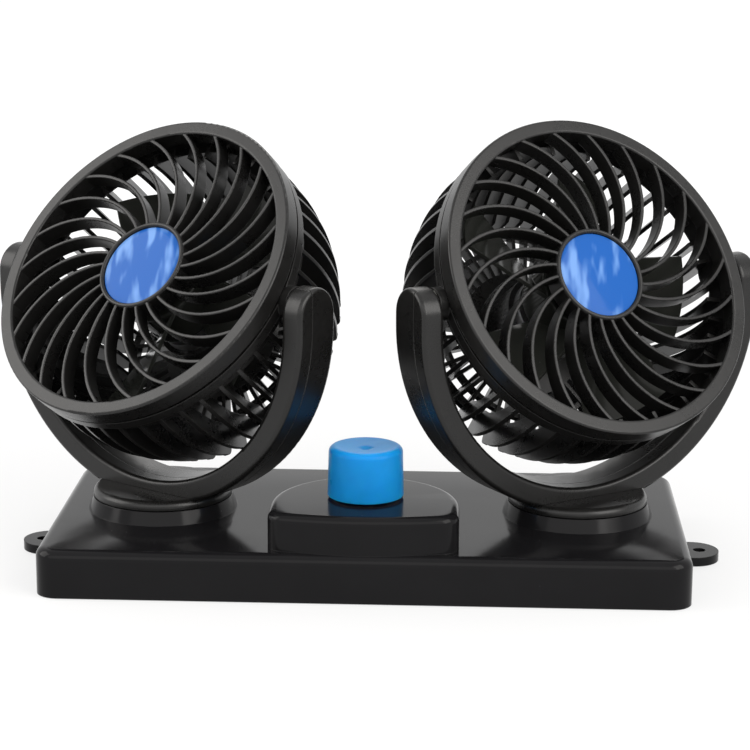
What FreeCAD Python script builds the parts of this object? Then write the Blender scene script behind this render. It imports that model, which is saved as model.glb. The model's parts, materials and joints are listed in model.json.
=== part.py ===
"""Twin-head car fan, in millimetres.

A low base carries a speed knob on a raised pod and two collars. On each collar a U-shaped yoke
swivels, and in each yoke a round fan head tilts. The origin is the middle of the underside of the
base, X runs along the base, Y runs to its back and Z is up. The pose modelled is the one in the
photograph: both heads are turned outwards and tilted up.
"""
import FreeCAD, Part
import math
import os
from collections import namedtuple

V = FreeCAD.Vector
AXIS_X = V(1, 0, 0)
AXIS_Y = V(0, 1, 0)
AXIS_Z = V(0, 0, 1)
EDGE_TOLERANCE = 1e-4

# Base shell: its width follows from the collars and what is left beyond them
BASE_END_MARGIN = 10.45
BASE_DEPTH = 111.0
BASE_HEIGHT = 16.7
BASE_CORNER = 8.0
BASE_TOP_ROUND = 3.5
WALL = 2.2

# Mounting ears at the ends of the base
EAR_REACH = 14.0
EAR_WIDTH = 19.0
EAR_THICK = 3.2
EAR_HOLE_DIAMETER = 4.5
EAR_HOLE_OUT = 7.0

# Raised pod under the knob
POD_WIDTH = 65.7
POD_HEIGHT = 13.1
POD_REACH = 55.9
POD_FRONT_SETBACK = 2.0
POD_BOW = 4.0
POD_CORNER = 7.0
POD_TOP_ROUND = 3.0

# Collars and the swivel bearing in each of them
SWIVEL_Y = 2.0
COLLAR_FOOT_RADIUS = 27.0
COLLAR_TOP_RADIUS = 25.2
COLLAR_HEIGHT = 4.8
COLLAR_WALL = 2.4
STEM_RADIUS = 8.0
STEM_BORE_RADIUS = 4.0
RUNNING_CLEARANCE = 0.05
SLIDING_GAP = 0.3
BEARING_WALL = 2.4
BEARING_DROP = 2.0
SWIVEL_WASHER_THICK = 2.0
SWIVEL_WASHER_RADIUS = 12.5
RETAINER_THICK = 1.8
RETAINER_RADIUS = 13.0
RETAINER_SCREW_COUNT = 3

# Bottom plate, its screws and pads
PLATE_THICK = 2.0
PLATE_CLEARANCE = 0.2
PAD_THICK = 1.0
PAD_LENGTH = 44.0
PAD_WIDTH = 16.0
PAD_CORNER = 4.0
PAD_INSET_X = 36.0
PAD_INSET_Y = 18.0
TAPE_LENGTH = 90.0
TAPE_WIDTH = 40.0
PLATE_BOSS_RADIUS = 4.2
PLATE_BOSS_INSET_X = 9.5
PLATE_BOSS_INSET_Y = 9.5

# Screws of the bottom plate
BASE_SCREW_SHANK_RADIUS = 1.4
BASE_SCREW_SHANK_LENGTH = 8.0
BASE_SCREW_HEAD_RADIUS = 2.7
BASE_SCREW_HEAD_HEIGHT = 1.2

# Screws of the swivel retainer
RETAINER_SCREW_SHANK_RADIUS = 0.9
RETAINER_SCREW_SHANK_LENGTH = 6.0
RETAINER_SCREW_HEAD_RADIUS = 1.7
RETAINER_SCREW_HEAD_HEIGHT = 1.1

# Screws of the yoke cover
COVER_SCREW_SHANK_RADIUS = 0.9
COVER_SCREW_SHANK_LENGTH = 15.0
COVER_SCREW_HEAD_RADIUS = 1.6
COVER_SCREW_HEAD_HEIGHT = 1.0

# Screws of the motor
MOTOR_SCREW_SHANK_RADIUS = 1.2
MOTOR_SCREW_SHANK_LENGTH = 7.5
MOTOR_SCREW_HEAD_RADIUS = 2.2
MOTOR_SCREW_HEAD_HEIGHT = 1.3

# Speed switch and knob
KNOB_INSET = 28.5
KNOB_FOOT_RADIUS = 13.3
KNOB_TOP_RADIUS = 12.9
KNOB_HEIGHT = 17.6
KNOB_GAP = 0.9
KNOB_TOP_ROUND = 2.0
KNOB_WALL = 2.2
KNOB_CAVITY_DEPTH = 5.0
KNOB_DISH_DEPTH = 0.9
KNOB_DISH_RADIUS = 10.4
KNOB_DIMPLE_RADIUS = 0.9
KNOB_DIMPLE_DEPTH = 0.6
SWITCH_SIDE = 17.0
SWITCH_HEIGHT = 9.0
SWITCH_FLOOR = 2.2
SWITCH_CORNER = 1.5
SWITCH_THREAD_RADIUS = 3.5
SWITCH_THREAD_UP = 2.6
SWITCH_SHAFT_RADIUS = 2.5
SWITCH_SHAFT_UP = 11.0
SWITCH_NUT_SIDES = 6
SWITCH_NUT_ACROSS = 10.0
SWITCH_NUT_THICK = 2.0
SWITCH_LUG_COUNT = 3
SWITCH_LUG_PITCH = 5.0
SWITCH_LUG_WIDTH = 2.0
SWITCH_LUG_THICK = 0.6
SWITCH_LUG_LENGTH = 3.0

# Circuit board on its posts
BOARD_LENGTH = 62.0
BOARD_WIDTH = 30.0
BOARD_THICK = 1.6
BOARD_INSET = 29.5
BOARD_LIFT = 3.0
BOARD_POST_RADIUS = 2.5
BOARD_POST_INSET = 4.0
CAPACITOR_RADIUS = 3.1
CAPACITOR_HEIGHT = 5.6
CAPACITOR_X = 16.0
RESISTOR_LENGTH = 18.0
RESISTOR_WIDTH = 6.0
RESISTOR_HEIGHT = 4.5
RESISTOR_X = -12.0

# Cable inlet in the back wall
INLET_RADIUS = 3.6
GROMMET_BORE_RADIUS = 2.4
GROMMET_FLANGE_RADIUS = 5.0
GROMMET_FLANGE_THICK = 1.4

# Yoke: a hollow U-shaped band with a front cover, on a round foot
YOKE_HEAD_GAP = 3.85
YOKE_BAND = 8.3
YOKE_WIDTH = 19.3
YOKE_SINK = 1.4
YOKE_SWING_GAP = 2.8
YOKE_EDGE_ROUND = 1.6
YOKE_WALL = 2.2
YOKE_COVER_WIDTH = 6.4
YOKE_SEAM_GAP = 0.25
COVER_SCREW_ANGLE = 52.0
COVER_BOSS_RADIUS = 2.7
FOOT_RADIUS = 25.0
FOOT_THICK = 3.2
FOOT_TOP_ROUND = 2.4

# Tilt pivot, near the top of the arms
PIVOT_ABOVE_CENTRE = 7.4
ARM_ABOVE_PIVOT = 6.6
PIVOT_PIN_RADIUS = 2.0
PIVOT_PIN_IN_ARM = 6.0
PIVOT_PIN_IN_BOSS = 5.4
PIVOT_BOSS_RADIUS = 6.0
PIVOT_SOLID_BELOW = 6.0
TILT_WASHER_RADIUS = 5.4
TILT_WASHER_THICK = 0.6

# Pose of each head in degrees: turned about Z, then tilted up, and the rolls of its vanes and blades
LEFT_TURN = -34.2
LEFT_TILT = 39.0
LEFT_VANE_ROLL = 5.7
LEFT_BLADE_ROLL = 60.5
RIGHT_TURN = 32.7
RIGHT_TILT = 32.9
RIGHT_VANE_ROLL = 11.6
RIGHT_BLADE_ROLL = 71.1

# Front grille: distances "back" are measured from the front face of the ring
FRONT_TO_PIVOT = 12.75
RING_OUTER_RADIUS = 59.45
RING_FACE_WIDTH = 5.05
RING_FACE_THICK = 2.2
RING_SKIRT_BACK = 6.5
RING_OUTER_SKIRT = 2.1
RING_INNER_SKIRT = 1.0
RING_EDGE_ROUND = 0.8
VANE_COUNT = 24
VANE_THICK = 1.3
VANE_FRONT = 0.6
VANE_DEPTH = 6.2
VANE_EDGE_ROUND = 0.35
VANE_SWEEP = 34.2
VANE_MID_SWEEP = 14.2
HUB_RADIUS = 17.3
HUB_FRONT = 0.5
HUB_DEPTH = 7.5
HUB_FACE_THICK = 2.4
HUB_WALL = 1.6
HUB_EDGE_ROUND = 0.5
BADGE_RADIUS = 15.6
BADGE_THICK = 0.9
BADGE_CLEARANCE = 0.1
BADGE_RECESS = 1.1

# Rear cage
TONGUE_CLEARANCE = 0.3
RIM_FRONT = 7.8
RIM_BACK = 11.5
RIM_STEP = 0.25
RIM_NECK_BACK = 15.0
RIM_NECK_SUNK = 0.3
FIN_COUNT = 44
FIN_THICK = 1.5
FIN_FRONT_INSET = 1.65
FIN_MID_INSET = 2.55
FIN_MID_BACK = 38.0
FIN_SHOULDER_INSET = 10.25
FIN_SHOULDER_RISE = 3.5
FIN_HEEL_INSET = 14.45
FIN_DEPTH = 7.4
CAGE_BACK = 60.5
CAGE_FLOOR_THICK = 4.0
CAGE_FLOOR_RADIUS = 24.0
INNER_HOOP_RADIUS = 33.2
INNER_HOOP_WIDTH = 1.8
OUTER_HOOP_RADIUS = 40.0
OUTER_HOOP_WIDTH = 3.2
HOOP_DEPTH = 2.6
HOOP_SUNK = 0.8
MOTOR_CUP_WALL = 2.0
MOTOR_CUP_LENGTH = 18.0

# Motor
MOTOR_RADIUS = 13.85
MOTOR_LENGTH = 22.0
MOTOR_WALL = 1.0
MOTOR_CAP_THICK = 5.0
MOTOR_NOSE_RADIUS = 4.5
MOTOR_NOSE_LENGTH = 2.2
MOTOR_CUP_CLEARANCE = 0.1
MOTOR_SCREW_OFFSET = 8.0
BUSH_RADIUS = 3.0
SHAFT_RADIUS = 1.15
SHAFT_CLEARANCE = 0.03
ROTOR_RADIUS = 9.0
ROTOR_LENGTH = 12.0
ROTOR_SLOT_COUNT = 3
ROTOR_SLOT_WIDTH = 2.4
ROTOR_SLOT_DEPTH = 3.2

# Impeller
IMPELLER_FRONT = 13.4
IMPELLER_HUB_RADIUS = 15.4
IMPELLER_HUB_LENGTH = 16.0
IMPELLER_HUB_WALL = 1.6
IMPELLER_BOSS_RADIUS = 3.2
IMPELLER_GRIP = 8.0
BLADE_TIP_GAP = 7.4
BLADE_COUNT = 5
BLADE_ROOT_CHORD = 18.0
BLADE_TIP_CHORD = 34.0
BLADE_ROOT_PITCH = 52.0
BLADE_TIP_PITCH = 28.5
BLADE_THICK = 1.4
BLADE_ROOT_START = 8.0
BLADE_ROOT_SHIFT = 5.0
BLADE_TIP_SHIFT = -6.4

# Sizes that follow from those above
RING_INNER_RADIUS = RING_OUTER_RADIUS - RING_FACE_WIDTH
RIM_RADIUS = RING_OUTER_RADIUS - RIM_STEP
FIN_FRONT_RADIUS = RING_OUTER_RADIUS - FIN_FRONT_INSET
FIN_MID_RADIUS = RING_OUTER_RADIUS - FIN_MID_INSET
FIN_SHOULDER_RADIUS = RING_OUTER_RADIUS - FIN_SHOULDER_INSET
FIN_HEEL_RADIUS = RING_OUTER_RADIUS - FIN_HEEL_INSET
FIN_SHOULDER_BACK = CAGE_BACK - FIN_SHOULDER_RISE
IMPELLER_TIP_RADIUS = RING_INNER_RADIUS - BLADE_TIP_GAP
YOKE_INNER_RADIUS = RING_OUTER_RADIUS + YOKE_HEAD_GAP
YOKE_OUTER_RADIUS = YOKE_INNER_RADIUS + YOKE_BAND
SWIVEL_OFFSET = math.hypot(YOKE_OUTER_RADIUS, YOKE_WIDTH / 2) + YOKE_SWING_GAP
BASE_WIDTH = 2 * (SWIVEL_OFFSET + COLLAR_FOOT_RADIUS + BASE_END_MARGIN)
POD_BACK_Y = POD_REACH - BASE_DEPTH / 2
KNOB_Y = KNOB_INSET - BASE_DEPTH / 2
BOARD_Y = BASE_DEPTH / 2 - BOARD_INSET
BASE_CEILING = BASE_HEIGHT - WALL
POD_TOP = BASE_HEIGHT + POD_HEIGHT
POD_CEILING = POD_TOP - WALL
COLLAR_TOP = BASE_HEIGHT + COLLAR_HEIGHT
BEARING_FOOT = BASE_CEILING - BEARING_DROP
STEM_FOOT = BEARING_FOOT - SLIDING_GAP - SWIVEL_WASHER_THICK
FOOT_UNDERSIDE = COLLAR_TOP + SLIDING_GAP
FOOT_TOP = FOOT_UNDERSIDE + FOOT_THICK
PLATE_TOP = PAD_THICK + PLATE_THICK
INLET_HEIGHT = (PLATE_TOP + BASE_CEILING) / 2
YOKE_CENTRE_Z = FOOT_UNDERSIDE - YOKE_SINK + YOKE_OUTER_RADIUS
PIVOT_Z = YOKE_CENTRE_Z + PIVOT_ABOVE_CENTRE
YOKE_TOP_Z = PIVOT_Z + ARM_ABOVE_PIVOT

Pose = namedtuple("Pose", "side turn tilt vane_roll blade_roll")
POSES = {
    "left": Pose(-1, LEFT_TURN, LEFT_TILT, LEFT_VANE_ROLL, LEFT_BLADE_ROLL),
    "right": Pose(1, RIGHT_TURN, RIGHT_TILT, RIGHT_VANE_ROLL, RIGHT_BLADE_ROLL),
}
SWIVELS = [(pose.side * SWIVEL_OFFSET, SWIVEL_Y) for pose in POSES.values()]

Screw = namedtuple("Screw", "shank_radius shank_length head_radius head_height")
BASE_SCREW = Screw(
    BASE_SCREW_SHANK_RADIUS, BASE_SCREW_SHANK_LENGTH, BASE_SCREW_HEAD_RADIUS, BASE_SCREW_HEAD_HEIGHT)
RETAINER_SCREW = Screw(
    RETAINER_SCREW_SHANK_RADIUS, RETAINER_SCREW_SHANK_LENGTH,
    RETAINER_SCREW_HEAD_RADIUS, RETAINER_SCREW_HEAD_HEIGHT)
COVER_SCREW = Screw(
    COVER_SCREW_SHANK_RADIUS, COVER_SCREW_SHANK_LENGTH, COVER_SCREW_HEAD_RADIUS, COVER_SCREW_HEAD_HEIGHT)
MOTOR_SCREW = Screw(
    MOTOR_SCREW_SHANK_RADIUS, MOTOR_SCREW_SHANK_LENGTH, MOTOR_SCREW_HEAD_RADIUS, MOTOR_SCREW_HEAD_HEIGHT)


def edges_at(solid, height):
    """Edges that lie wholly at one height."""
    return [e for e in solid.Edges if all(abs(v.Z - height) < EDGE_TOLERANCE for v in e.Vertexes)]


def upright_edges(solid):
    """Straight edges parallel to Z."""
    found = []
    for edge in solid.Edges:
        if len(edge.Vertexes) == 2 and isinstance(edge.Curve, Part.Line):
            run = edge.Vertexes[1].Point - edge.Vertexes[0].Point
            if abs(run.x) < EDGE_TOLERANCE and abs(run.y) < EDGE_TOLERANCE:
                found.append(edge)
    return found


def rounded_box(width, depth, bottom, top, corner, centre=(0.0, 0.0)):
    """A block with rounded corners in plan."""
    start = V(centre[0] - width / 2, centre[1] - depth / 2, bottom)
    box = Part.makeBox(width, depth, top - bottom, start)
    return box.makeFillet(corner, upright_edges(box))


def disc(radius, bottom, top, centre=(0.0, 0.0)):
    """An upright cylinder between two heights."""
    return Part.makeCylinder(radius, top - bottom, V(centre[0], centre[1], bottom))


def tube(outer, inner, bottom, top, centre=(0.0, 0.0)):
    """An upright ring between two heights."""
    return disc(outer, bottom, top, centre).cut(disc(inner, bottom, top, centre))


def join(solids):
    """One solid made of several that overlap."""
    return solids[0].fuse(solids[1:])


def around(solid, count, start=0.0):
    """Copies of a solid spaced evenly about Z."""
    copies = []
    for index in range(count):
        copy = solid.copy()
        copy.rotate(V(), AXIS_Z, start + index * 360.0 / count)
        copies.append(copy)
    return copies


def screw(size, seat, direction):
    """A screw whose head bears on the seat point and whose shank runs along the direction."""
    return screw_hole(size, seat, direction).fuse(screw_sink(size, seat, direction)).removeSplitter()


def screw_hole(size, seat, direction):
    """The space that a screw's shank fills."""
    return Part.makeCylinder(size.shank_radius, size.shank_length, seat, direction)


def screw_sink(size, seat, direction):
    """The space that a screw's head fills."""
    return Part.makeCylinder(size.head_radius, size.head_height, seat, direction * -1)


def pod_block(inset, bottom, top):
    """The D-shaped pod, round at the back and slightly bowed at the front."""
    half = POD_WIDTH / 2 - inset
    arc_y = POD_BACK_Y - POD_WIDTH / 2
    front = -BASE_DEPTH / 2 + POD_FRONT_SETBACK + inset
    side_end = front + POD_BOW
    back_arc = Part.Arc(V(half, arc_y, bottom), V(0, arc_y + half, bottom), V(-half, arc_y, bottom))
    front_arc = Part.Arc(V(-half, side_end, bottom), V(0, front, bottom), V(half, side_end, bottom))
    left_side = Part.LineSegment(V(-half, arc_y, bottom), V(-half, side_end, bottom))
    right_side = Part.LineSegment(V(half, side_end, bottom), V(half, arc_y, bottom))
    outline = Part.Wire([c.toShape() for c in (back_arc, left_side, front_arc, right_side)])
    block = Part.Face(outline).extrude(V(0, 0, top - bottom))
    corners = [e for e in upright_edges(block) if e.Vertexes[0].Y < arc_y - EDGE_TOLERANCE]
    return block.makeFillet(POD_CORNER - inset, corners)


def ear(side):
    """One mounting ear, without its hole."""
    wall_x = side * BASE_WIDTH / 2
    tip_x = wall_x + side * (EAR_REACH - EAR_WIDTH / 2)
    root_x = wall_x - side * WALL
    low = min(root_x, tip_x)
    tab = Part.makeBox(abs(tip_x - root_x), EAR_WIDTH, EAR_THICK, V(low, SWIVEL_Y - EAR_WIDTH / 2, 0))
    return tab.fuse(disc(EAR_WIDTH / 2, 0, EAR_THICK, (tip_x, SWIVEL_Y)))


def ear_hole(side):
    """The hole for a screw through one ear."""
    centre = (side * (BASE_WIDTH / 2 + EAR_HOLE_OUT), SWIVEL_Y)
    return disc(EAR_HOLE_DIAMETER / 2, 0, EAR_THICK, centre)


def plate_boss_centres():
    """Places of the four bosses that take the plate's screws."""
    x = BASE_WIDTH / 2 - WALL - PLATE_BOSS_INSET_X
    y = BASE_DEPTH / 2 - WALL - PLATE_BOSS_INSET_Y
    return [(sx * x, sy * y) for sx in (-1, 1) for sy in (-1, 1)]


def base_screw_seats():
    """Seats in the plate, so deep that the heads end flush with its underside."""
    return [V(x, y, PAD_THICK + BASE_SCREW.head_height) for x, y in plate_boss_centres()]


def make_base_housing():
    """The glossy shell: base, pod, ears, collars, bearing tubes and screw bosses."""
    shell = rounded_box(BASE_WIDTH, BASE_DEPTH, 0, BASE_HEIGHT, BASE_CORNER)
    shell = shell.makeFillet(BASE_TOP_ROUND, edges_at(shell, BASE_HEIGHT))
    pod = pod_block(0, BASE_CEILING, POD_TOP)
    pod = pod.makeFillet(POD_TOP_ROUND, edges_at(pod, POD_TOP))
    collars = [
        Part.makeCone(COLLAR_FOOT_RADIUS, COLLAR_TOP_RADIUS, COLLAR_HEIGHT, V(x, y, BASE_HEIGHT))
        for x, y in SWIVELS
    ]
    outside = join([shell, pod, ear(-1), ear(1)] + collars)

    inner_width = BASE_WIDTH - 2 * WALL
    inner_depth = BASE_DEPTH - 2 * WALL
    hollow = rounded_box(inner_width, inner_depth, 0, BASE_CEILING, BASE_CORNER - WALL)
    behind_front_wall = Part.makeBox(
        inner_width, BASE_DEPTH, POD_CEILING, V(-inner_width / 2, -inner_depth / 2, 0))
    pod_hollow = pod_block(WALL, 0, POD_CEILING).common(behind_front_wall)
    collar_hollows = [
        disc(COLLAR_TOP_RADIUS - COLLAR_WALL, 0, COLLAR_TOP - COLLAR_WALL, c) for c in SWIVELS
    ]
    housing = outside.cut([hollow, pod_hollow] + collar_hollows)

    bore = STEM_RADIUS + RUNNING_CLEARANCE
    bearings = [tube(bore + BEARING_WALL, bore, BEARING_FOOT, COLLAR_TOP, c) for c in SWIVELS]
    boss_top = BASE_CEILING + WALL / 2
    bosses = [disc(PLATE_BOSS_RADIUS, PLATE_TOP, boss_top, c) for c in plate_boss_centres()]
    housing = join([housing] + bearings + bosses)

    inlet = Part.makeCylinder(INLET_RADIUS, WALL, V(0, inner_depth / 2, INLET_HEIGHT), AXIS_Y)
    thread_hole = disc(SWITCH_THREAD_RADIUS, POD_CEILING, POD_TOP, (0, KNOB_Y))
    holes = [disc(bore, 0, COLLAR_TOP, c) for c in SWIVELS]
    holes += [ear_hole(-1), ear_hole(1), inlet, thread_hole]
    holes += [screw_hole(BASE_SCREW, seat, AXIS_Z) for seat in base_screw_seats()]
    return housing.cut(holes)


def board_post_centres():
    """Places of the posts under the corners of the circuit board."""
    x = BOARD_LENGTH / 2 - BOARD_POST_INSET
    y = BOARD_WIDTH / 2 - BOARD_POST_INSET
    return [(sx * x, BOARD_Y + sy * y) for sx in (-1, 1) for sy in (-1, 1)]


def make_base_plate():
    """The bottom plate, with the posts that carry the circuit board."""
    shrink = 2 * (WALL + PLATE_CLEARANCE)
    corner = BASE_CORNER - WALL - PLATE_CLEARANCE
    plate = rounded_box(BASE_WIDTH - shrink, BASE_DEPTH - shrink, PAD_THICK, PLATE_TOP, corner)
    post_top = PLATE_TOP + BOARD_LIFT
    posts = [disc(BOARD_POST_RADIUS, PAD_THICK, post_top, c) for c in board_post_centres()]
    plate = join([plate] + posts)
    return plate.cut([screw(BASE_SCREW, seat, AXIS_Z) for seat in base_screw_seats()])


def make_base_screws():
    """Four screws with their heads sunk in the plate."""
    return Part.makeCompound([screw(BASE_SCREW, seat, AXIS_Z) for seat in base_screw_seats()])


def make_adhesive_pad():
    """The foam tape under the middle of the base."""
    return rounded_box(TAPE_LENGTH, TAPE_WIDTH, 0, PAD_THICK, PAD_CORNER)


def make_foot_pads():
    """Four thin pads that keep the base from sliding."""
    x = BASE_WIDTH / 2 - PAD_INSET_X
    y = BASE_DEPTH / 2 - PAD_INSET_Y
    pads = [
        rounded_box(PAD_LENGTH, PAD_WIDTH, 0, PAD_THICK, PAD_CORNER, (sx * x, sy * y))
        for sx in (-1, 1) for sy in (-1, 1)
    ]
    return Part.makeCompound(pads)


def make_control_board():
    """The circuit board on its posts."""
    bottom = PLATE_TOP + BOARD_LIFT
    start = V(-BOARD_LENGTH / 2, BOARD_Y - BOARD_WIDTH / 2, bottom)
    return Part.makeBox(BOARD_LENGTH, BOARD_WIDTH, BOARD_THICK, start)


def make_board_parts():
    """A capacitor and a speed resistor standing on the board."""
    top = PLATE_TOP + BOARD_LIFT + BOARD_THICK
    capacitor = disc(CAPACITOR_RADIUS, top, top + CAPACITOR_HEIGHT, (CAPACITOR_X, BOARD_Y))
    start = V(RESISTOR_X - RESISTOR_LENGTH / 2, BOARD_Y - RESISTOR_WIDTH / 2, top)
    resistor = Part.makeBox(RESISTOR_LENGTH, RESISTOR_WIDTH, RESISTOR_HEIGHT, start)
    return Part.makeCompound([capacitor, resistor])


def make_cable_grommet():
    """The rubber inlet in the back wall, with a flange on each side of the wall."""
    outer_y = BASE_DEPTH / 2
    start = V(0, outer_y - WALL - GROMMET_FLANGE_THICK, INLET_HEIGHT)
    inner_flange = Part.makeCylinder(GROMMET_FLANGE_RADIUS, GROMMET_FLANGE_THICK, start, AXIS_Y)
    neck = Part.makeCylinder(INLET_RADIUS, WALL, V(0, outer_y - WALL, INLET_HEIGHT), AXIS_Y)
    outer_flange = Part.makeCylinder(
        GROMMET_FLANGE_RADIUS, GROMMET_FLANGE_THICK, V(0, outer_y, INLET_HEIGHT), AXIS_Y)
    length = WALL + 2 * GROMMET_FLANGE_THICK
    bore = Part.makeCylinder(GROMMET_BORE_RADIUS, length, start, AXIS_Y)
    return join([inner_flange, neck, outer_flange]).cut(bore)


KNOB_FOOT = POD_TOP + KNOB_GAP
KNOB_TOP = KNOB_FOOT + KNOB_HEIGHT
THREAD_TOP = POD_TOP + SWITCH_THREAD_UP
SHAFT_TOP = THREAD_TOP + SWITCH_SHAFT_UP


def make_speed_switch():
    """The rotary switch under the pod's roof, with its threaded neck and its lugs."""
    bottom = POD_CEILING - SWITCH_HEIGHT
    body = rounded_box(SWITCH_SIDE, SWITCH_SIDE, bottom, POD_CEILING, SWITCH_CORNER, (0, KNOB_Y))
    neck = disc(SWITCH_THREAD_RADIUS, POD_CEILING, THREAD_TOP, (0, KNOB_Y))
    pieces = [body, neck]
    for index in range(SWITCH_LUG_COUNT):
        x = (index - (SWITCH_LUG_COUNT - 1) / 2) * SWITCH_LUG_PITCH - SWITCH_LUG_WIDTH / 2
        start = V(x, KNOB_Y - SWITCH_LUG_THICK / 2, bottom - SWITCH_LUG_LENGTH)
        pieces.append(Part.makeBox(SWITCH_LUG_WIDTH, SWITCH_LUG_THICK, SWITCH_LUG_LENGTH, start))
    bore = disc(SWITCH_SHAFT_RADIUS + RUNNING_CLEARANCE, bottom + SWITCH_FLOOR, THREAD_TOP, (0, KNOB_Y))
    return join(pieces).cut(bore)


def make_switch_nut():
    """The hexagon nut that clamps the switch to the pod's roof."""
    corner = SWITCH_NUT_ACROSS / 2 / math.cos(math.pi / SWITCH_NUT_SIDES)
    points = []
    for index in range(SWITCH_NUT_SIDES + 1):
        angle = 2 * math.pi * index / SWITCH_NUT_SIDES
        points.append(V(corner * math.cos(angle), KNOB_Y + corner * math.sin(angle), POD_TOP))
    prism = Part.Face(Part.makePolygon(points)).extrude(V(0, 0, SWITCH_NUT_THICK))
    return prism.cut(disc(SWITCH_THREAD_RADIUS, POD_TOP, POD_TOP + SWITCH_NUT_THICK, (0, KNOB_Y)))


def make_switch_shaft():
    """The shaft that the knob turns."""
    foot = POD_CEILING - SWITCH_HEIGHT + SWITCH_FLOOR + SLIDING_GAP
    return disc(SWITCH_SHAFT_RADIUS, foot, SHAFT_TOP, (0, KNOB_Y))


def make_speed_knob():
    """The knob: slightly tapered, with a dished top and a socket for the shaft."""
    centre = (0, KNOB_Y)
    body = Part.makeCone(KNOB_FOOT_RADIUS, KNOB_TOP_RADIUS, KNOB_HEIGHT, V(0, KNOB_Y, KNOB_FOOT))
    body = body.makeFillet(KNOB_TOP_ROUND, edges_at(body, KNOB_TOP))
    dish_sphere = (KNOB_DISH_RADIUS ** 2 + KNOB_DISH_DEPTH ** 2) / (2 * KNOB_DISH_DEPTH)
    dish = Part.makeSphere(dish_sphere, V(0, KNOB_Y, KNOB_TOP + dish_sphere - KNOB_DISH_DEPTH))
    dish_floor = KNOB_TOP - KNOB_DISH_DEPTH
    dimple = disc(KNOB_DIMPLE_RADIUS, dish_floor - KNOB_DIMPLE_DEPTH, KNOB_TOP, centre)
    cavity = disc(KNOB_TOP_RADIUS - KNOB_WALL, KNOB_FOOT, KNOB_FOOT + KNOB_CAVITY_DEPTH, centre)
    socket = disc(SWITCH_SHAFT_RADIUS, KNOB_FOOT, SHAFT_TOP, centre)
    return body.cut([dish, dimple, cavity, socket])


def u_face(inner, outer, top, y):
    """A flat U on an upright plane: two straight arms on a half ring."""
    z = YOKE_CENTRE_Z
    points = {
        "outer_right_top": V(outer, y, top), "outer_right": V(outer, y, z),
        "outer_left": V(-outer, y, z), "outer_left_top": V(-outer, y, top),
        "inner_left_top": V(-inner, y, top), "inner_left": V(-inner, y, z),
        "inner_right": V(inner, y, z), "inner_right_top": V(inner, y, top),
    }
    curves = [
        Part.LineSegment(points["outer_right_top"], points["outer_right"]),
        Part.Arc(points["outer_right"], V(0, y, z - outer), points["outer_left"]),
        Part.LineSegment(points["outer_left"], points["outer_left_top"]),
        Part.LineSegment(points["outer_left_top"], points["inner_left_top"]),
        Part.LineSegment(points["inner_left_top"], points["inner_left"]),
        Part.Arc(points["inner_left"], V(0, y, z - inner), points["inner_right"]),
        Part.LineSegment(points["inner_right"], points["inner_right_top"]),
        Part.LineSegment(points["inner_right_top"], points["outer_right_top"]),
    ]
    return Part.Face(Part.Wire([c.toShape() for c in curves]))


YOKE_FRONT_Y = -YOKE_WIDTH / 2
YOKE_BACK_Y = YOKE_WIDTH / 2
CHANNEL_INNER = YOKE_INNER_RADIUS + YOKE_WALL
CHANNEL_OUTER = YOKE_OUTER_RADIUS - YOKE_WALL
CHANNEL_TOP = PIVOT_Z - PIVOT_SOLID_BELOW
BAND_MIDDLE = (YOKE_INNER_RADIUS + YOKE_OUTER_RADIUS) / 2
SEAM_Y = YOKE_FRONT_Y + YOKE_COVER_WIDTH


def cover_screw_seats():
    """Where the heads of the two cover screws bear, sunk in the back of the yoke."""
    seats = []
    for side in (-1, 1):
        angle = math.radians(COVER_SCREW_ANGLE)
        x = side * BAND_MIDDLE * math.sin(angle)
        z = YOKE_CENTRE_Z - BAND_MIDDLE * math.cos(angle)
        seats.append(V(x, YOKE_BACK_Y - COVER_SCREW.head_height, z))
    return seats


def hollow_band():
    """The whole U with rounded arm tops and edges, hollow below the pivots."""
    band = u_face(YOKE_INNER_RADIUS, YOKE_OUTER_RADIUS, YOKE_TOP_Z, YOKE_FRONT_Y)
    band = band.extrude(V(0, YOKE_WIDTH, 0))
    round_z = YOKE_TOP_Z - YOKE_WIDTH / 2
    span = 2 * YOKE_OUTER_RADIUS
    start_x = -YOKE_OUTER_RADIUS
    lower = Part.makeBox(span, YOKE_WIDTH, round_z, V(start_x, YOKE_FRONT_Y, 0))
    tops = Part.makeCylinder(YOKE_WIDTH / 2, span, V(start_x, 0, round_z), AXIS_X)
    band = band.common(lower.fuse(tops).removeSplitter()).removeSplitter()
    band = band.makeFillet(YOKE_EDGE_ROUND, band.Edges)
    channel = u_face(CHANNEL_INNER, CHANNEL_OUTER, CHANNEL_TOP, YOKE_FRONT_Y + YOKE_WALL)
    channel = channel.extrude(V(0, YOKE_WIDTH - 2 * YOKE_WALL, 0))
    below_foot = Part.makeBox(span, YOKE_WIDTH, FOOT_UNDERSIDE, V(start_x, YOKE_FRONT_Y, 0))
    return band.cut([channel, below_foot])


def band_part(front_y, back_y):
    """The stretch of the hollow band between two upright planes."""
    span = 2 * YOKE_OUTER_RADIUS
    return hollow_band().common(
        Part.makeBox(span, back_y - front_y, YOKE_TOP_Z, V(-YOKE_OUTER_RADIUS, front_y, 0)))


def cover_bosses(front_y, back_y):
    """The screw bosses inside the band, between two upright planes."""
    bosses = []
    for seat in cover_screw_seats():
        start = V(seat.x, front_y, seat.z)
        bosses.append(Part.makeCylinder(COVER_BOSS_RADIUS, back_y - front_y, start, AXIS_Y))
    return bosses


def cover_screw_solids():
    """The two screws that hold the cover, put in from behind."""
    return [screw(COVER_SCREW, seat, AXIS_Y * -1) for seat in cover_screw_seats()]


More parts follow.
